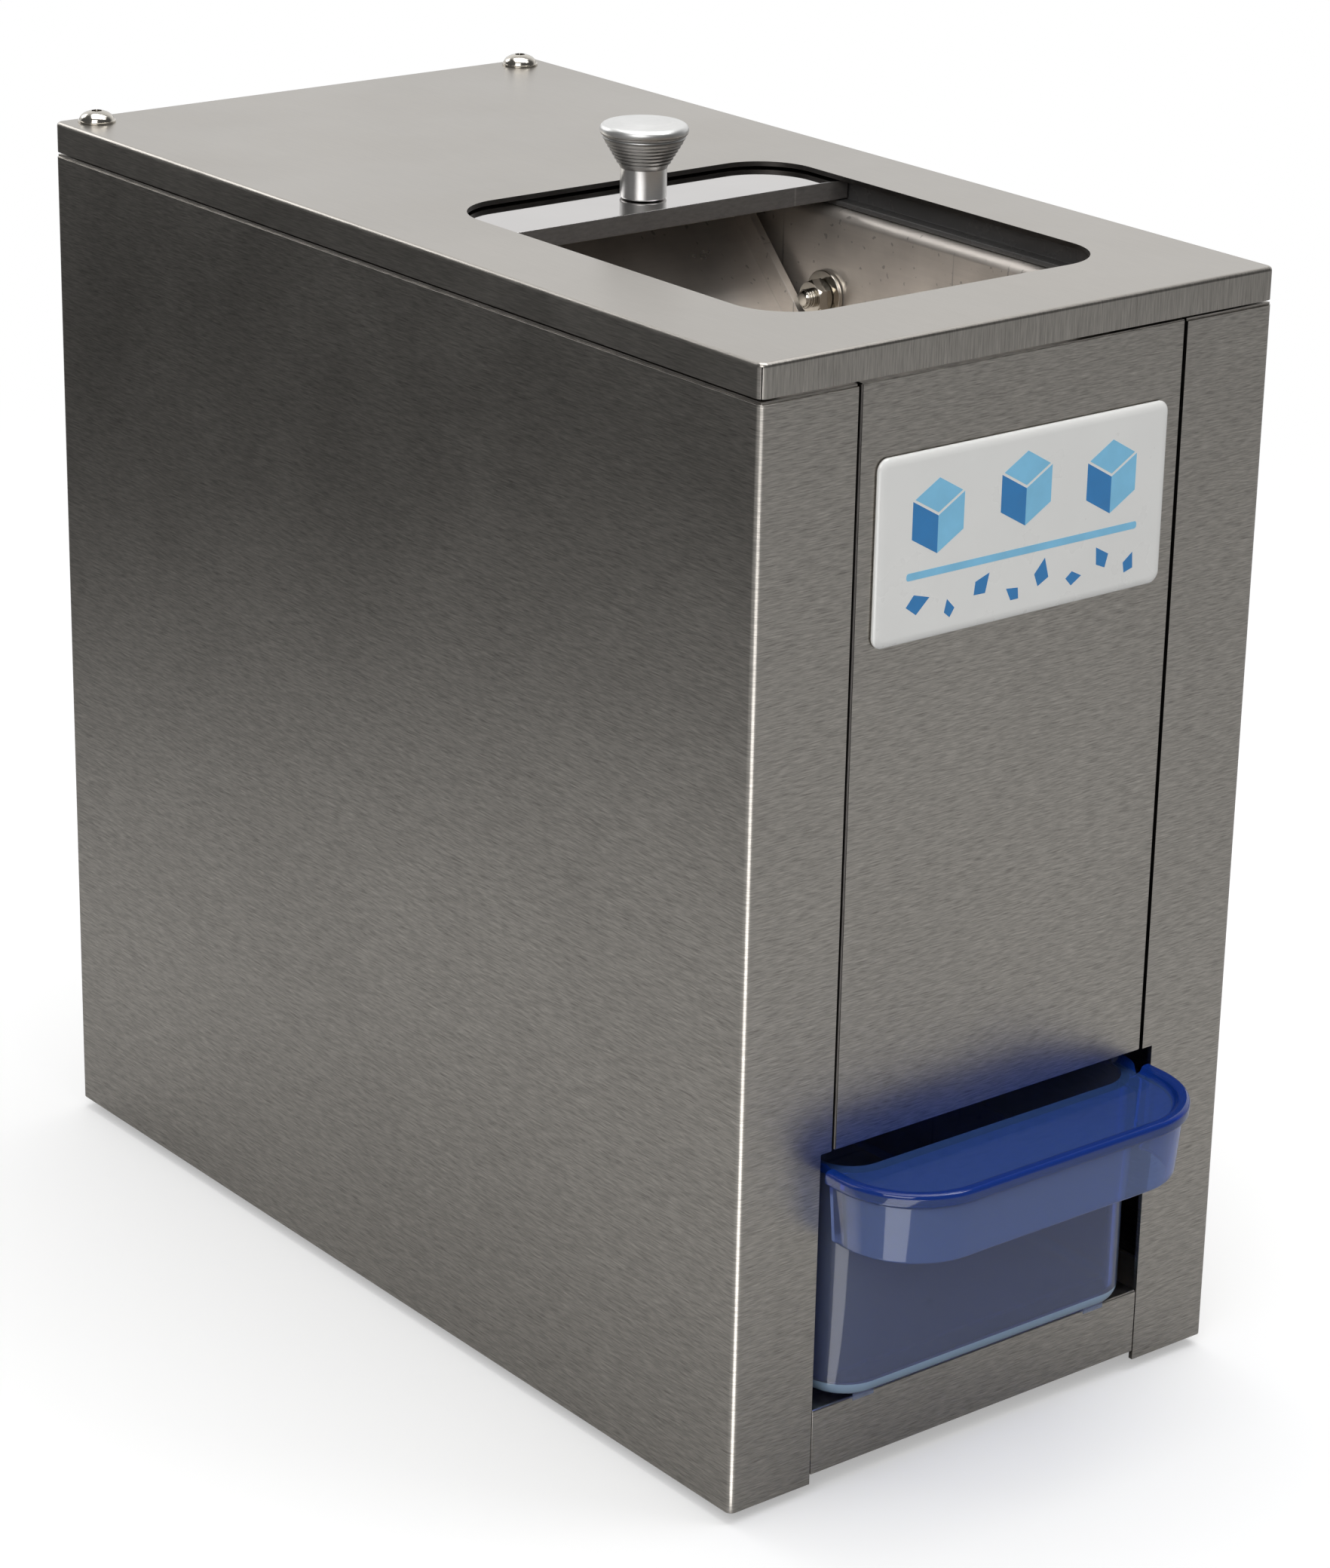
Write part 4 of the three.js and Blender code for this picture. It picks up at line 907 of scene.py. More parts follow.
def front_panel():
    size = sizes()
    low, high = PANEL
    half = size.thin_sheet / 2
    side_gap = 0.25 * MM  # between the panel and the casing's front strips
    sides = high.x - half - side_gap
    wall = bent_sheet("front_panel_sheet", [
        (-sides, high.y), (-sides, low.y + half), (sides, low.y + half), (sides, high.y),
    ], size.thin_sheet, size.tight_bend, low.z + half, high.z - half, lambda u, v, w: (u, v, w))
    for z0, z1 in ((low.z, low.z + size.thin_sheet), (high.z - size.thin_sheet, high.z)):
        join(wall, block(-sides, sides, low.y + half, high.y, z0, z1))
    finish_edges(wall, size.edge)
    done(wall, "cabinet", "Brushed panels", "front_panel")
    # Painted shade on the panel's side bends, beside the gaps to the strips.
    paint_gap_shade(wall, sides - MM, sides + MM)


def front_sill():
    size = sizes()
    low, high = SILL
    half = size.thin_sheet / 2
    wall = bent_sheet("front_sill_sheet", [
        (low.y + half, low.z), (low.y + half, high.z - half), (high.y, high.z - half),
    ], size.thin_sheet, size.tight_bend, low.x, high.x, lambda u, v, w: (w, u, v))
    finish_edges(wall, size.edge)
    done(wall, "cabinet", "Brushed panels", "front_sill")


def top_cover():
    """A shallow pan, folded down on all sides, with thin open seams at its corners."""
    size = sizes()
    low, high = COVER
    sheet = size.sheet
    foot = high.z - size.skirt

    def cover_ring(inset, z):
        radius = max(size.corner - inset, 0.05 * MM)
        return at_height(rounded_rectangle(
            low.x + inset, high.x - inset, low.y + inset, high.y - inset, radius, 5), z)

    turns = [math.pi / 2 * i / 6 for i in range(7)]
    cover = loft("top_cover_pan", [cover_ring(0, foot)] + [
        cover_ring(size.fold * (1 - math.cos(a)), high.z - size.fold * (1 - math.sin(a)))
        for a in turns])
    inside = block(low.x + sheet, high.x - sheet, low.y + sheet, high.y - sheet,
                   foot - MM, high.z - sheet)
    across = middle(SLIDE).x
    front = RAIL[0].y + size.fill_start
    opening = rounded_rectangle(
        across - size.fill_width / 2, across + size.fill_width / 2,
        front, front + size.fill_length, size.fill_radius, 16,
    )
    hole_radius, seam_reach = 2.5 * MM, 3 * MM
    tools = [inside, loft("opening", [at_height(opening, z) for z in (foot, high.z + MM)])]
    for side in ("left", "right"):
        screw = middle(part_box(f"cover_screw_{side}"))
        hole = [(0, low.z), (hole_radius, low.z), (hole_radius, high.z + MM), (0, high.z + MM)]
        tools.append(turned("hole", hole, (screw.x, screw.y, 0), "Z", 24))
    for x, y in ((low.x, low.y), (high.x, low.y), (high.x, high.y), (low.x, high.y)):
        seam = block(-seam_reach, seam_reach, -size.corner_seam / 2, size.corner_seam / 2,
                     foot - MM, high.z - size.fold * 0.8)
        diagonal = math.copysign(math.pi / 4, x * (y - middle(COVER).y))
        seam.data.transform(Matrix.Translation((x, y, 0)) @ Matrix.Rotation(diagonal, 4, "Z"))
        tools.append(seam)
    cut(cover, *tools)
    finish_edges(cover, size.edge)
    done(cover, "cabinet", "Brushed cover", "top_cover")
    # Painted shade: the cut edges round the fill opening get the dark steel.
    cover.data.materials.append(MATERIALS["Groove"])
    for face in cover.data.polygons:
        at = face.center
        in_opening = (front - MM < at.y < front + size.fill_length + MM
                      and abs(at.x - across) < size.fill_width / 2 + MM)
        face.material_index = int(in_opening and abs(face.normal.z) < 0.5)


# ---------------------------------------------------------------- badge

# An ice cube drawn as three slanted faces, in cube edges from its lowest corner.
CUBE_FACES = (
    ("Badge light", ((0.0, 0.0), (0.87, 0.5), (0.87, 1.5), (0.0, 1.0))),
    ("Badge dark", ((0.0, 0.0), (0.0, 1.0), (-0.87, 1.5), (-0.87, 0.5))),
    ("Badge light", ((0.0, 1.08), (0.80, 1.54), (0.0, 2.0), (-0.80, 1.54))),
)
CUBE_EDGE = 10.81 * MM
CUBES = ((-0.30, 0.15), (0.0, 0.19), (0.30, 0.15))  # shares of the badge
BAR = (0.40, -0.165, -0.125, 0.8 * MM)  # half length, foot and top in shares, and its radius
SHARDS = ((-0.36, -0.30, 4.6, 0.3), (-0.25, -0.36, 3.0, 1.9), (-0.14, -0.28, 4.2, 0.9),
          (-0.03, -0.36, 3.2, 2.6), (0.07, -0.29, 4.4, 1.4), (0.18, -0.36, 3.2, 0.1),
          (0.28, -0.28, 4.0, 2.2), (0.38, -0.35, 3.4, 1.2))  # shares of the badge, size, turn


def badge():
    size = sizes()
    low, high = BADGE
    dome, steps = size.badge_dome, 8
    rings = [[Vector((x, high.y, z)) for x, z in rounded_rectangle(
        low.x, high.x, low.z, high.z, size.badge_radius, 10)]]
    for i in range(steps + 1):
        turn = i / steps * math.pi / 2
        inset = size.badge_rim * (1 - math.cos(turn))
        y = low.y + dome * (1 - math.sin(turn))
        rings.append([Vector((x, y, z)) for x, z in rounded_rectangle(
            low.x + inset, high.x - inset, low.z + inset, high.z - inset,
            size.badge_radius - inset, 10)])
    label = finish_edges(loft("badge_label", rings), 0)
    done(label, "cabinet", "Badge", "badge")

    centre = middle(BADGE)
    across, rise = high.x - low.x, high.z - low.z
    shapes = []
    for right, up in CUBES:
        for ink, corners in CUBE_FACES:
            shapes.append((ink, [(right * across + x * CUBE_EDGE,
                                  up * rise + (y - 1) * CUBE_EDGE) for x, y in corners]))
    for right, up, reach, turn in SHARDS:
        shapes.append(("Badge dark", [
            (right * across + reach * MM * math.cos(turn + a) * r,
             up * rise + reach * MM * math.sin(turn + a) * r)
            for a, r in ((0, 1.0), (1.7, 0.7), (2.9, 0.9), (4.3, 0.65))
        ]))
    half, foot, top, radius = BAR
    bar = rounded_rectangle(-half * across, half * across, foot * rise, top * rise, radius)
    shapes.append(("Badge light", bar))
    ink_depth = 0.03 * MM
    for ink in ("Badge dark", "Badge light"):
        bm = bmesh.new()
        for name, outline in shapes:
            if name == ink:
                add_solid(bm, [[(centre.x + x, y, centre.z + z) for x, z in outline]
                               for y in (low.y - ink_depth, low.y + ink_depth)])
        done(closed(bm, "badge_" + ink.split()[1]), "cabinet", ink)


# ---------------------------------------------------------------- sliding cover and knob


def slide_cover():
    size = sizes()
    low, high = SLIDE
    tray = block(low.x, high.x, low.y, high.y, low.z, high.z, "slide_cover_tray")
    sheet = size.sheet
    hollow = block(low.x + sheet, high.x - sheet, low.y + sheet, high.y - sheet,
                   low.z - MM, high.z - sheet)
    cut(tray, hollow)
    finish_edges(tray, 0.3 * MM, 3)
    done(tray, "sliding_cover", "Mirror cover", "slide_cover")
    tray.data.materials.append(MATERIALS["Cover edge"])
    for face in tray.data.polygons:
        face.material_index = int(face.normal.z < 0.3)


def knob():
    """A trumpet-shaped pull: plain stem, ringed flare, rounded rim and slightly domed top."""
    low, high = KNOB
    at = middle(KNOB)
    rim = (high.x - low.x) / 2
    stem, tall = 7.1 * MM, high.z - low.z
    neck, flare_top = 9.2 * MM, tall - 4.8 * MM
    lip, hollow = 0.7 * MM, 1.12  # step under the rim, and how much the flare curves in
    profile = [(0, 0), (stem - 0.5 * MM, 0), (stem - 0.1 * MM, 0.2 * MM), (stem, 0.6 * MM),
               (stem, neck)]
    steps = 12
    grow = rim - stem - lip
    for i in range(1, steps + 1):
        t = i / steps
        profile.append((stem + grow * t ** hollow, neck + (flare_top - neck) * t))
    edge = 1.9 * MM
    widest = flare_top + edge + 0.1 * MM
    profile += [(rim - edge + edge * math.cos(a), widest + edge * math.sin(a))
                for a in (-math.pi / 2 + math.pi * i / 10 for i in range(1, 11))]
    crown = tall - (widest + edge)
    profile += [((rim - edge) * (1 - t), widest + edge + crown * (1 - (1 - t) ** 2))
                for t in (0.25, 0.5, 0.75, 1.0)]
    body = turned("slide_knob_turned", profile, (at.x, at.y, low.z), "Z", 96)
    body.data.shade_smooth()
    done(body, "sliding_cover", "Satin knob", "slide_knob")
    # Painted shade: faces on the flare that look downward take the darker copy of the aluminium.
    body.data.materials.append(MATERIALS["Satin flare"])
    for face in body.data.polygons:
        face.material_index = int(low.z + neck < face.center.z and face.normal.z < -0.2)
    # The rings take the same darker aluminium, painted shade.
    rings = grown(
        "slide_knob_rings", ring_tree(), "Satin flare",
        Count=6, Step=1.2 * MM, First_radius=stem + 0.95 * MM, Growth=0.71 * MM,
        Bead=0.22 * MM, Foot=(at.x, at.y, low.z + neck + 1.7 * MM),
    )
    rings.data.shade_smooth()
    done(rings, "sliding_cover", "Satin flare")
    refined("knob_screw", "sliding_cover", "Bright fixings")


def rails():
    for side in ("left", "right"):
        refined(f"slide_rail_{side}", "cabinet", "Rail", 0.3 * MM)
    refined("lid_switch", "cabinet", "Black plastic", 0.4 * MM)
    refined("switch_plunger", "switch_button", "Grey plastic", 0.3 * MM)


# ---------------------------------------------------------------- fixings


def screw_head(name, radius, height, socket, axis):
    """A low domed head with a thin skirt and a hexagon socket, its seat at nought."""
    skirt = 0.16 * height
    dome = radius * 0.93
    profile = [(0, 0), (radius, 0), (radius, skirt)]
    profile += [(dome * math.cos(a), skirt + (height - skirt) * math.sin(a))
                for a in (math.pi / 2 * i / 9 for i in range(9))]
    profile.append((0, height))
    head = turned(name, profile, (0, 0, 0), axis, 48)
    cut(head, hexagon_bar((0, 0, 0), socket, 0.4 * height, 2 * height, axis))
    return finish_edges(head, 0.12 * MM)


def cover_screws():
    tree = rectangle_of_copies()
    left, right = (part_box(f"cover_screw_{side}") for side in ("left", "right"))
    seat = COVER[1].z + 0.05 * MM
    height = left[1].z - seat
    radius = (left[1].x - left[0].x) / 2
    head = screw_head("cover_screw_pattern", radius, height, socket=3.2 * MM, axis="Z")
    place = middle(left)
    heads = grown(
        "cover_screws", tree, "Bright fixings", Copy=head, Columns=2, Rows=1,
        Step_across=middle(right).x - place.x, First=(place.x, place.y, seat),
    )
    bpy.data.objects.remove(head)
    done(heads, "cabinet", "Bright fixings", "cover_screw_left", "cover_screw_right")

    from_edge, from_foot, from_top = 7.5 * MM, 20 * MM, 24 * MM
    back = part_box("side_panel_left")[1].y
    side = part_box("side_panel_right")[1].x - from_edge
    lowest = REAR[0].z + from_foot
    rear_head = screw_head("rear_screw_pattern", radius=4.6 * MM, height=2.5 * MM,
                           socket=2.5 * MM, axis="Y")
    rear = grown(
        "rear_screws", tree, "Bright fixings", Copy=rear_head, Columns=2, Rows=2,
        Step_across=2 * side, Step_along=(0, 0, REAR[1].z - from_top - lowest),
        First=(-side, back, lowest),
    )
    bpy.data.objects.remove(rear_head)
    done(rear, "cabinet", "Bright fixings")


def hopper_bolts():
    """On each side a plain washer, a chamfered nut and the bolt's threaded end."""
    tree = thread_tree()
    flats, chamfer = 10 * MM, 0.8 * MM
    core, crest, point = 2.65 * MM, 2.7 * MM, 0.7 * MM  # radii of the thread, and the end's chamfer
    head_thick, head_overlap = 4 * MM, 1 * MM
    for side, sign in (("left", -1), ("right", 1)):
        nut_box, bolt_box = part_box(f"hopper_nut_{side}"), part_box(f"hopper_bolt_{side}")
        washer_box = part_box(f"hopper_washer_{side}")
        at = middle(nut_box)
        inner = nut_box[0].x if sign > 0 else nut_box[1].x
        nut = hexagon_bar((0, at.y, at.z), flats, nut_box[0].x, nut_box[1].x, axis="X")
        thick = nut_box[1].x - nut_box[0].x
        corner = flats / 2 / math.cos(math.pi / 6)
        round_over = [(0, 0), (corner - chamfer, 0), (corner, chamfer),
                      (corner, thick - chamfer), (corner - chamfer, thick), (0, thick)]
        lens = turned("lens", round_over, (nut_box[0].x, at.y, at.z), "X", 64)
        combine(nut, "INTERSECT", lens)
        nut.name = f"hopper_nut_{side}_hexagon"
        finish_edges(nut, 0.15 * MM)
        done(nut, "cabinet", "Bright fixings", f"hopper_nut_{side}")

        wide = (washer_box[1].z - washer_box[0].z) / 2
        thin = washer_box[1].x - washer_box[0].x
        disc = [(0, 0), (wide, 0), (wide, thin), (0, thin)]
        washer = turned(f"hopper_washer_{side}_disc", disc, (washer_box[0].x, at.y, at.z), "X", 64)
        finish_edges(washer, 0.3 * MM)
        done(washer, "cabinet", "Bright fixings", f"hopper_washer_{side}")

        tip = bolt_box[0].x if sign > 0 else bolt_box[1].x
        head = bolt_box[1].x if sign > 0 else bolt_box[0].x
        low, high = sorted((tip, head - sign * (head_thick - head_overlap)))
        reach = high - low
        shank = [(0, 0), (core - point, 0), (core, point), (core, reach - point),
                 (core - point, reach), (0, reach)]
        bolt = turned(f"hopper_bolt_{side}_shank", shank, (low, at.y, at.z), "X", 32)
        hexed = hexagon_bar((0, at.y, at.z), flats, *sorted((head, head - sign * head_thick)), "X")
        join(bolt, hexed)
        finish_edges(bolt, 0.15 * MM)
        done(bolt, "cabinet", "Bright fixings", f"hopper_bolt_{side}")
        visible = abs(inner - tip) + MM
        start = tip + 0.5 * MM if sign > 0 else inner - MM
        thread = grown(
            f"hopper_bolt_{side}_thread", tree, "Bright fixings", Radius=crest,
            Length=visible, Pitch=sizes().thread_pitch, Start=(start, at.y, at.z),
        )
        done(thread, "cabinet", "Bright fixings")


# ---------------------------------------------------------------- drawer


def clear_drawer():
    """A clear tub with a flared mouth, and a lip with a raised rim that is pulled by hand."""
    size = sizes()
    low, high = DRAWER
    wall, radius, foot = size.tub_wall, size.tub_radius, size.tub_foot
    # Half the tub's width, its collar, what the lip stands before it, its floor above the stops.
    half, collar, ledge, lifted = 60 * MM, 2 * MM, 30 * MM, 2 * MM
    back, front = high.y - collar, low.y + ledge
    bottom, top = low.z + lifted, high.z

    def tub_ring(inset, z, extra=0.0):
        grown_by = -inset + extra
        return at_height(rounded_rectangle(
            -half - grown_by, half + grown_by, front - grown_by, back + grown_by,
            max(radius - inset + extra, MM), 10), z)

    def rounded_foot(inset, level, around):
        return [tub_ring(inset + around * (1 - math.sin(a)), level + around * (1 - math.cos(a)))
                for a in (math.pi / 2 * i / 6 for i in range(7))]

    outside = loft("clear_drawer_tub", [
        *rounded_foot(0, bottom, foot), tub_ring(0, top - 4.2 * MM),
        tub_ring(0, top - 3.6 * MM, collar - 0.5 * MM), tub_ring(0, top - 3.0 * MM, collar),
        tub_ring(0, top - 0.7 * MM, collar), tub_ring(0, top - 0.2 * MM, collar - 0.2 * MM),
        tub_ring(0, top, collar - 0.7 * MM),
    ])

    lip_half, lip_front = high.x, low.y
    lip_back = PANEL[0].y - MM
    rim_high, skirt_inset, skirt_low = 4.6 * MM, 1.8 * MM, top - 23.2 * MM
    bead = 1.5 * MM

    def lip_ring(inset, z, end=lip_back):
        return at_height(front_rounded(
            lip_half - inset, lip_front + inset, end, size.shelf_radius - inset), z)

    skirt_edge = 0.8 * MM
    lip = loft("lip", [
        lip_ring(skirt_inset + 1.6 * MM + skirt_edge, skirt_low),
        lip_ring(skirt_inset + 1.6 * MM + 0.25 * skirt_edge, skirt_low + 0.25 * skirt_edge),
        lip_ring(skirt_inset + 1.5 * MM, skirt_low + skirt_edge),
        lip_ring(skirt_inset, top - rim_high - 0.5 * MM),
        lip_ring(skirt_inset - 0.4 * MM, top - rim_high - 0.1 * MM),
        lip_ring(0.5 * MM, top - rim_high + 0.3 * MM),
        lip_ring(0, top - rim_high + MM),
        *[lip_ring(bead * (1 - math.cos(a)), top - bead + bead * math.sin(a))
          for a in (math.pi / 2 * i / 6 for i in range(7))],
    ])
    shelf = top - 2 * MM
    rim, inner_bead = size.rim_width, 1.4 * MM
    dish_end = lip_back + 10 * MM
    dish = loft("dish", [lip_ring(rim - step, z, dish_end) for step, z in (
        (-1.2 * MM, shelf), (-0.5 * MM, shelf + 0.25 * MM), (0, shelf + MM),
        (0.35 * MM, shelf + 1.65 * MM), (inner_bead, top + 0.02 * MM), (inner_bead, top + MM),
    )])
    under = loft("under", [
        lip_ring(skirt_inset + 1.6 * MM + wall, skirt_low - MM, lip_back + MM),
        lip_ring(skirt_inset + wall, shelf - wall - 1.5 * MM, lip_back + MM),
        lip_ring(skirt_inset + wall + 1.2 * MM, shelf - wall, lip_back + MM),
    ])
    cut(lip, under)
    hollow = loft("hollow", [*rounded_foot(wall, bottom + wall, foot - wall * 0.6),
                             tub_ring(wall, top - 3 * MM), tub_ring(wall, top + 2 * MM)])
    join(outside, lip)
    cut(outside, dish, hollow)
    stop_near, stop_far, stop_sunk = 42 * MM, 50 * MM, 1.5 * MM
    stops = [block(*sorted((sign * stop_near, sign * stop_far)), front + 4 * MM,
                   lip_back + 0.3 * MM, low.z, bottom + stop_sunk) for sign in (-1, 1)]
    join(outside, *stops)
    clean(outside)
    finish_edges(outside, 0.28 * MM, 2, 50)
    done(outside, "ice_drawer", "Blue plastic", "drawer")
    looks = ("Blue plastic", "Blue lip", "Blue edge", "Blue rim", "Blue shelf")
    for look in looks[1:]:
        outside.data.materials.append(MATERIALS[look])
    # Painted light on one moulding: darker blues as shade on the lip, its shelf and rim, a pale
    # blue as highlight round the foot and the right-hand corner.
    for face in outside.data.polygons:
        at, facing = face.center, face.normal
        in_foot = at.z < bottom + foot and -0.75 < facing.z < -0.1
        in_corner = (at.y < front + radius and bottom + foot < at.z < skirt_low
                     and 0.66 < facing.x < 0.92 and at.x > 0)
        in_lip = at.y < front - 0.05 * MM or at.z > shelf - 1.1 * wall and at.y < front + 12 * MM
        if in_lip and at.z > shelf + 0.1 * MM:
            look = "Blue rim"
        elif in_lip and at.z > shelf - 1.1 * wall:
            look = "Blue shelf"
        elif in_lip:
            look = "Blue lip"
        elif in_foot or in_corner:
            look = "Blue edge"
        else:
            look = "Blue plastic"
        face.material_index = looks.index(look)


# ---------------------------------------------------------------- back, feet and inside


def back_and_base():
    refined("rear_panel", "cabinet", "Brushed panels", 0.3 * MM)
    refined("mains_inlet", "cabinet", "Black plastic", 0.5 * MM)
    refined("base_plate", "cabinet", "Inner steel")
    for end in ("front", "rear"):
        for side in ("left", "right"):
            refined(f"foot_{end}_{side}", "cabinet", "Rubber", 0.6 * MM)


def hopper():
    for node in ("hopper_wall_left", "hopper_wall_right", "hopper_front_wall",
                 "hopper_rear_chute", "hopper_bracket_left", "hopper_bracket_right",
                 "ice_throat", "ice_grate", "drawer_tray", "bulkhead"):
        refined(node, "cabinet", "Inner steel", 0.25 * MM)


INSIDE = (  # node, body, finish, rounding of its edges in millimetres
    *((f"bearing_plate_{end}", "cabinet", "Cast alloy", 0.5) for end in ("front", "rear")),
    *((f"bearing_bush_{end}", "cabinet", "Bronze", 0.3) for end in ("front", "rear")),
    ("crusher_shaft", "crusher_rotor", "Bright fixings", 0.3),
    *((f"breaker_arm_{i}", "crusher_rotor", "Bright fixings", 0.4) for i in range(1, 5)),
    ("gearbox_housing", "cabinet", "Cast alloy", 0.5),
    ("gearbox_cover", "cabinet", "Cast alloy", 0.5),
    ("motor_housing", "cabinet", "Motor paint", 0.6),
    ("motor_end_shield", "cabinet", "Motor paint", 0.6),
    ("motor_saddle", "cabinet", "Inner steel", 0.3),
    ("motor_fan", "motor_spindle", "Black plastic", 0.15),
    ("run_capacitor", "cabinet", "Grey plastic", 0.4),
)
KEPT = (  # frame nodes that only take a finish
    ("output_gear", "Cut gears"), ("lay_gear_cluster", "Cut gears"),
    ("motor_pinion", "Cut gears"), ("motor_stator", "Laminations"),
    ("motor_rotor", "Laminations"),
)


def machinery():
    for node, body, finish, width in INSIDE:
        refined(node, body, finish, width * MM)
    for node, finish in KEPT:
        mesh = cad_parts[node].data
        mesh.materials.clear()
        mesh.materials.append(MATERIALS[finish])


# ---------------------------------------------------------------- studio

CAMERA_PLACE = (-0.80697, -1.01516, 0.64671)
CAMERA_TURN = math.radians(38.667)  # towards +X from looking along +Y
CAMERA_DIP = math.radians(20.638)
CAMERA_ROLL = math.radians(1.20)
CAMERA_LENS = 101.05
FLOOR_REACH = 12.0
PALE_REACH = (0.35, 1.1)  # the pale table top fades to white between these distances
DARK_PATCH = (-1.1, 1.15, 0.0)  # what the left side reflects, out of the camera's sight
DARK_REACH = (0.60, 1.30)


def bare_material(name):
    """A material whose surface is left open, and its tree."""
    made = bpy.data.materials.new(name)
    made.use_nodes = True
    tree = made.node_tree
    tree.nodes.remove(tree.nodes["Principled BSDF"])
    return made, tree


def studio_floor():
    around = 96
    rings = [[Vector((r * math.cos(a), r * math.sin(a), 0))
              for a in (2 * math.pi * i / around for i in range(around))]
             for r in (FLOOR_REACH, 2.0, 0.8, 0.3)]
    bm = bmesh.new()
    bm.faces.new(bridge(bm, rings)[-1])
    floor = object_from(bm, "studio_floor")
    made, tree = bare_material("Studio floor")
    place = wire(tree, "ShaderNodeTexCoord").outputs["Object"]
    distance = wire(tree, "ShaderNodeVectorMath", [(0, place)], operation="LENGTH")
    fade = wire(tree, "ShaderNodeMapRange", [
        ("Value", distance.outputs["Value"]), ("From Min", PALE_REACH[0]),
        ("From Max", PALE_REACH[1]), ("To Min", 0.35),
    ], interpolation_type="SMOOTHSTEP")
    pale = wire(tree, "ShaderNodeBsdfDiffuse", [("Color", (*colours().floor, 1.0))])
    white = wire(tree, "ShaderNodeEmission", [("Color", (1, 1, 1, 1)), ("Strength", 1.0)])
    seen = wire(tree, "ShaderNodeMixShader", [(0, fade), (1, pale), (2, white)])
    away = wire(tree, "ShaderNodeVectorMath", [(0, place), (1, DARK_PATCH)], operation="DISTANCE")
    grey = wire(tree, "ShaderNodeMapRange", [
        ("Value", away.outputs["Value"]), ("From Min", DARK_REACH[0]),
        ("From Max", DARK_REACH[1]), ("To Min", 0.04), ("To Max", 0.36),
    ], interpolation_type="SMOOTHSTEP")
    other = wire(tree, "ShaderNodeBsdfDiffuse", [("Color", grey)])
    path = wire(tree, "ShaderNodeLightPath")
    surface = wire(tree, "ShaderNodeMixShader", [
        (0, path.outputs["Is Camera Ray"]), (1, other), (2, seen),
    ])
    tree.links.new(surface.outputs[0], tree.nodes["Material Output"].inputs["Surface"])
    floor.data.materials.append(made)


def studio_world():
    world = bpy.data.worlds.new("Studio")
    bpy.context.scene.world = world
    world.use_nodes = True
    tree = world.node_tree
    way = wire(tree, "ShaderNodeTexCoord").outputs["Generated"]
    behind = wire(tree, "ShaderNodeVectorMath", [
        (0, way), (1, (math.sin(CAMERA_TURN), math.cos(CAMERA_TURN), 0)),
    ], operation="DOT_PRODUCT")
    mirrored = wire(tree, "ShaderNodeMapRange", [
        ("Value", behind.outputs["Value"]), ("From Min", 0.25), ("From Max", 0.85),
        ("To Min", 0.08), ("To Max", 0.86),
    ], interpolation_type="SMOOTHSTEP")
    path = wire(tree, "ShaderNodeLightPath")
    plain = maths(
        tree, "MAXIMUM", path.outputs["Is Camera Ray"], path.outputs["Is Transmission Ray"])
    strength = 0.5
    for ray, value in ((path.outputs["Is Glossy Ray"], mirrored.outputs[0]), (plain, 1.0)):
        strength = wire(tree, "ShaderNodeMix", [(0, ray), (2, strength), (3, value)]).outputs[0]
    sky = wire(tree, "ShaderNodeBackground", [("Color", (1, 1, 1, 1)), ("Strength", strength)])
    tree.links.new(sky.outputs[0], tree.nodes["World Output"].inputs["Surface"])


GLOW_TURN = math.radians(20)  # half the angle of the bright wedge on the table
GLOW_REACH = (0.01, 1.1)
LAMPS = (  # name, place, width, power
    ("overhead", (0.1, 0.1, 1.9), 1.6, 23.0),
    ("front_left", (-1.5, -1.1, 1.5), 1.2, 15.0),
    ("front_right", (0.8, -0.9, 2.1), 0.7, 8.0),
    ("behind", (-0.4, 1.9, 1.3), 0.9, 6.0),
)


def corner_glow():
    """A bright wedge on the table, seen only as the thin light line on the upright bends."""
    corner = Vector((COVER[0].x, COVER[0].y, 0.0005))
    towards = math.atan2(CAMERA_PLACE[1], CAMERA_PLACE[0])
    outline = [corner + reach * Vector((math.cos(towards + turn), math.sin(towards + turn), 0))
               for reach, turn in ((GLOW_REACH[0], -GLOW_TURN), (GLOW_REACH[1], -GLOW_TURN),
                                   (GLOW_REACH[1], GLOW_TURN), (GLOW_REACH[0], GLOW_TURN))]
    bm = bmesh.new()
    bm.faces.new([bm.verts.new(p) for p in outline])
    card = object_from(bm, "corner_glow")
    made, tree = bare_material("Corner glow")
    light = wire(tree, "ShaderNodeEmission", [("Color", (1, 1, 1, 1)), ("Strength", 3.0)])
    tree.links.new(light.outputs[0], tree.nodes["Material Output"].inputs["Surface"])
    card.data.materials.append(made)
    card.visible_camera = card.visible_diffuse = card.visible_transmission = False
    card.visible_shadow = False


def studio_lamps():
    aim = Vector((0, 0, 0.18))
    for name, place, width, power in LAMPS:
        lamp = bpy.data.lights.new(name, "AREA")
        lamp.shape, lamp.size, lamp.energy = "SQUARE", width, power
        made = bpy.data.objects.new(name, lamp)
        bpy.context.scene.collection.objects.link(made)
        made.location = place
        made.rotation_euler = (Vector(place) - aim).to_track_quat("Z", "Y").to_euler()


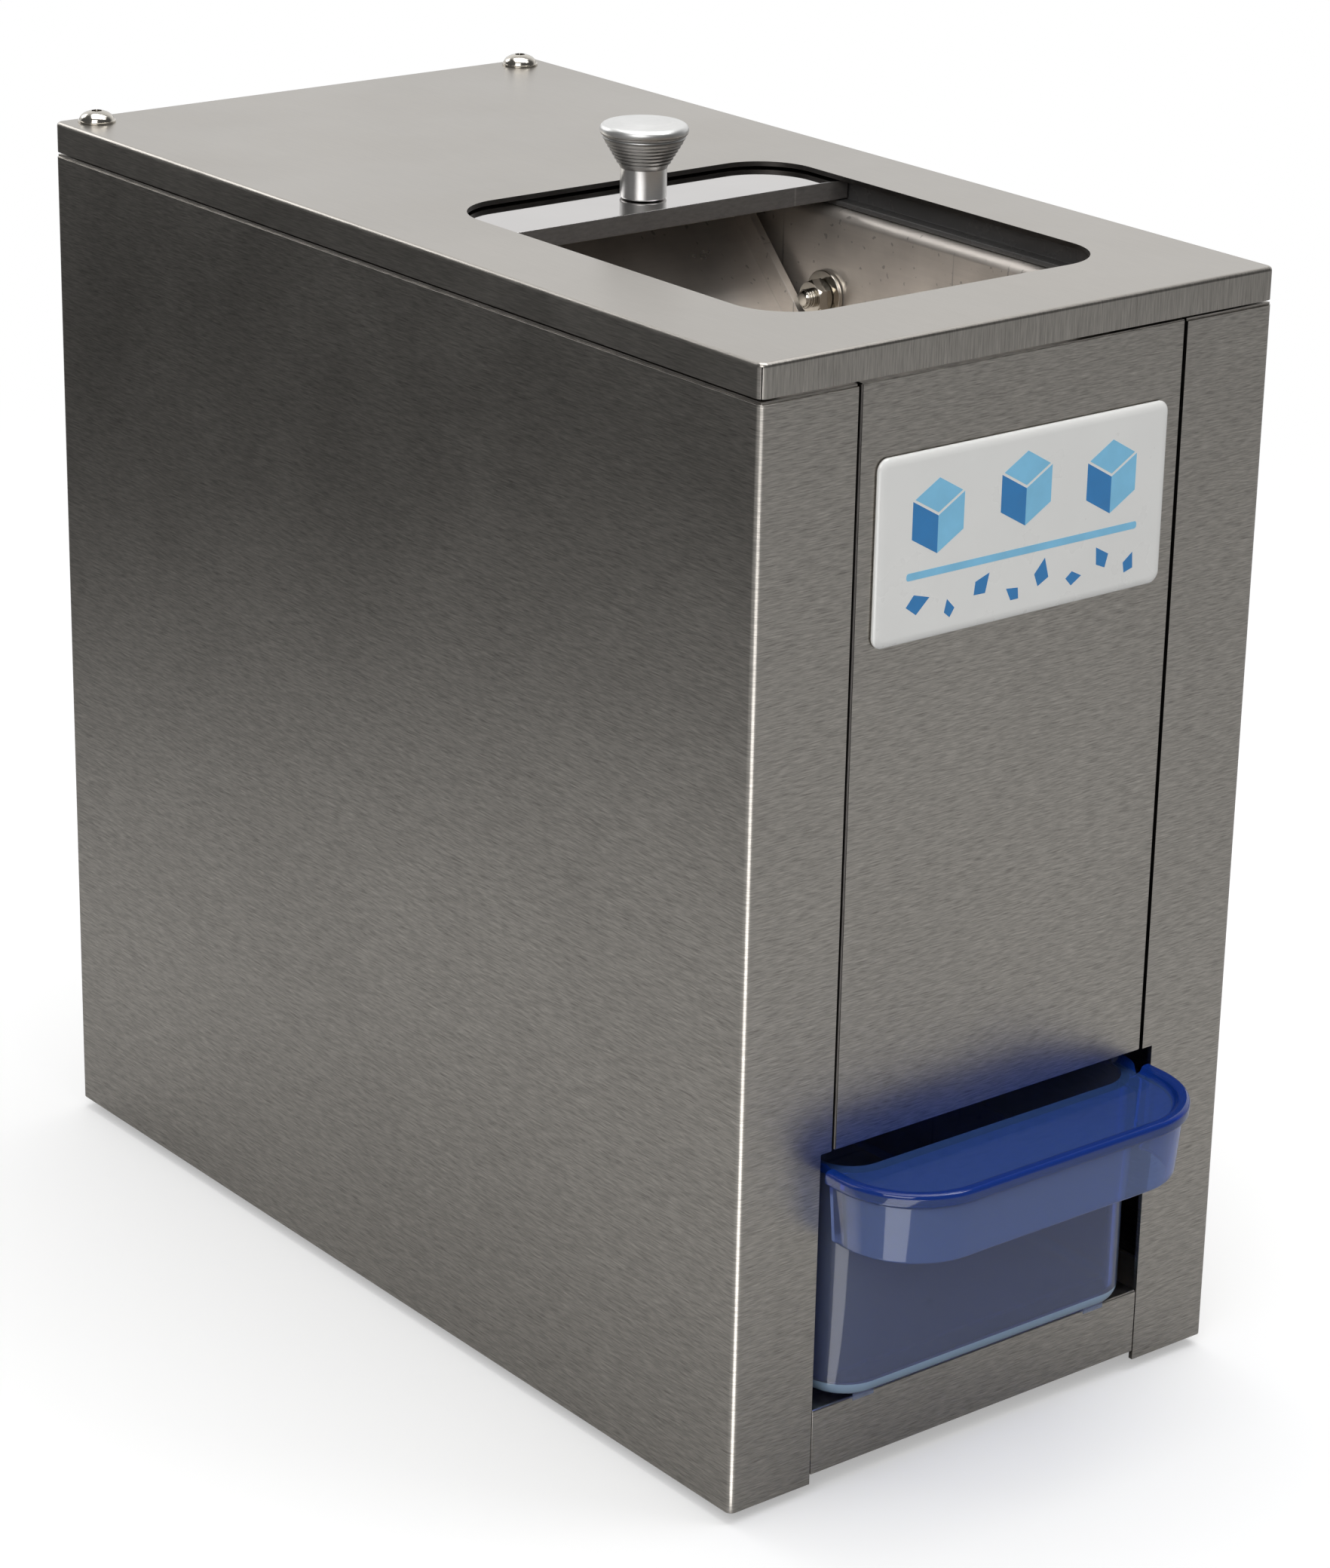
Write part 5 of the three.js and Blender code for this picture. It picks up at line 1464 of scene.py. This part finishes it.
def studio_camera():
    camera = bpy.data.cameras.new("camera")
    camera.sensor_width, camera.lens = 36.0, CAMERA_LENS
    camera.clip_start, camera.clip_end = 0.05, 60.0
    made = bpy.data.objects.new("camera", camera)
    bpy.context.scene.collection.objects.link(made)
    made.location = CAMERA_PLACE
    turn = (Matrix.Rotation(-CAMERA_TURN, 4, "Z")
            @ Matrix.Rotation(math.pi / 2 - CAMERA_DIP, 4, "X")
            @ Matrix.Rotation(CAMERA_ROLL, 4, "Z"))
    made.rotation_euler = turn.to_euler()
    bpy.context.scene.camera = made
    bpy.context.scene.view_settings.view_transform = "Standard"


# ---------------------------------------------------------------- operators


class Step:
    """What every operator does: it runs its own makers in order."""

    def execute(self, context):
        for make in self.makers:
            make()
        return {"FINISHED"}


class CRUSHER_OT_materials(Step, bpy.types.Operator):
    """Make every finish of the machine"""

    bl_idname = "crusher.materials"
    bl_label = "Materials"
    makers = (make_materials,)


class CRUSHER_OT_casing(Step, bpy.types.Operator):
    """Bend the side panels, the front panel and the sill"""

    bl_idname = "crusher.casing"
    bl_label = "Casing"
    makers = (partial(side_panel, "left", -1), partial(side_panel, "right", 1),
              front_panel, front_sill)


class CRUSHER_OT_top_cover(Step, bpy.types.Operator):
    """Fold the top cover and cut its fill opening"""

    bl_idname = "crusher.top_cover"
    bl_label = "Top cover"
    makers = (top_cover,)


class CRUSHER_OT_badge(Step, bpy.types.Operator):
    """Cast the domed badge and print its ice cubes"""

    bl_idname = "crusher.badge"
    bl_label = "Badge"
    makers = (badge,)


class CRUSHER_OT_sliding_cover(Step, bpy.types.Operator):
    """Make the polished sliding cover, its knob and its rails"""

    bl_idname = "crusher.sliding_cover"
    bl_label = "Sliding cover"
    makers = (slide_cover, knob, rails)


class CRUSHER_OT_fixings(Step, bpy.types.Operator):
    """Set the domed screws, and the hopper's bolts with their nuts and washers"""

    bl_idname = "crusher.fixings"
    bl_label = "Fixings"
    makers = (cover_screws, hopper_bolts)


class CRUSHER_OT_drawer(Step, bpy.types.Operator):
    """Mould the clear blue drawer"""

    bl_idname = "crusher.drawer"
    bl_label = "Drawer"
    makers = (clear_drawer,)


class CRUSHER_OT_inside(Step, bpy.types.Operator):
    """Finish the hopper, the back, the feet and the machinery"""

    bl_idname = "crusher.inside"
    bl_label = "Hopper, back and machinery"
    makers = (hopper, back_and_base, machinery)


class CRUSHER_OT_stage(Step, bpy.types.Operator):
    """Set the floor, the world, the lamps and the camera"""

    bl_idname = "crusher.stage"
    bl_label = "Studio"
    makers = (studio_floor, corner_glow, studio_world, studio_lamps, studio_camera)


OPERATORS = (
    CRUSHER_OT_materials, CRUSHER_OT_casing, CRUSHER_OT_top_cover, CRUSHER_OT_badge,
    CRUSHER_OT_sliding_cover, CRUSHER_OT_fixings, CRUSHER_OT_drawer, CRUSHER_OT_inside,
    CRUSHER_OT_stage,
)


class CRUSHER_PT_panel(bpy.types.Panel):
    """Lists the machine's pieces in the order in which they are made"""

    bl_idname = "CRUSHER_PT_panel"
    bl_label = "Ice crusher"
    bl_space_type = "VIEW_3D"
    bl_region_type = "UI"
    bl_category = "Ice crusher"

    def draw(self, context):
        for operator in OPERATORS:
            self.layout.operator(operator.bl_idname)
        for group in (context.scene.crusher_sizes, context.scene.crusher_colours):
            box = self.layout.box()
            for name in group.bl_rna.properties.keys():
                if name not in ("rna_type", "name"):
                    box.prop(group, name)


CLASSES = (CRUSHER_PG_sizes, CRUSHER_PG_colours, *OPERATORS, CRUSHER_PT_panel)


def register():
    for cls in CLASSES:
        bpy.utils.register_class(cls)
    bpy.types.Scene.crusher_sizes = bpy.props.PointerProperty(type=CRUSHER_PG_sizes)
    bpy.types.Scene.crusher_colours = bpy.props.PointerProperty(type=CRUSHER_PG_colours)


def unregister():
    del bpy.types.Scene.crusher_colours
    del bpy.types.Scene.crusher_sizes
    for cls in reversed(CLASSES):
        bpy.utils.unregister_class(cls)


def main():
    register()
    for operator in OPERATORS:
        group, name = operator.bl_idname.split(".")
        getattr(getattr(bpy.ops, group), name)()


if __name__ == "__main__":
    main()
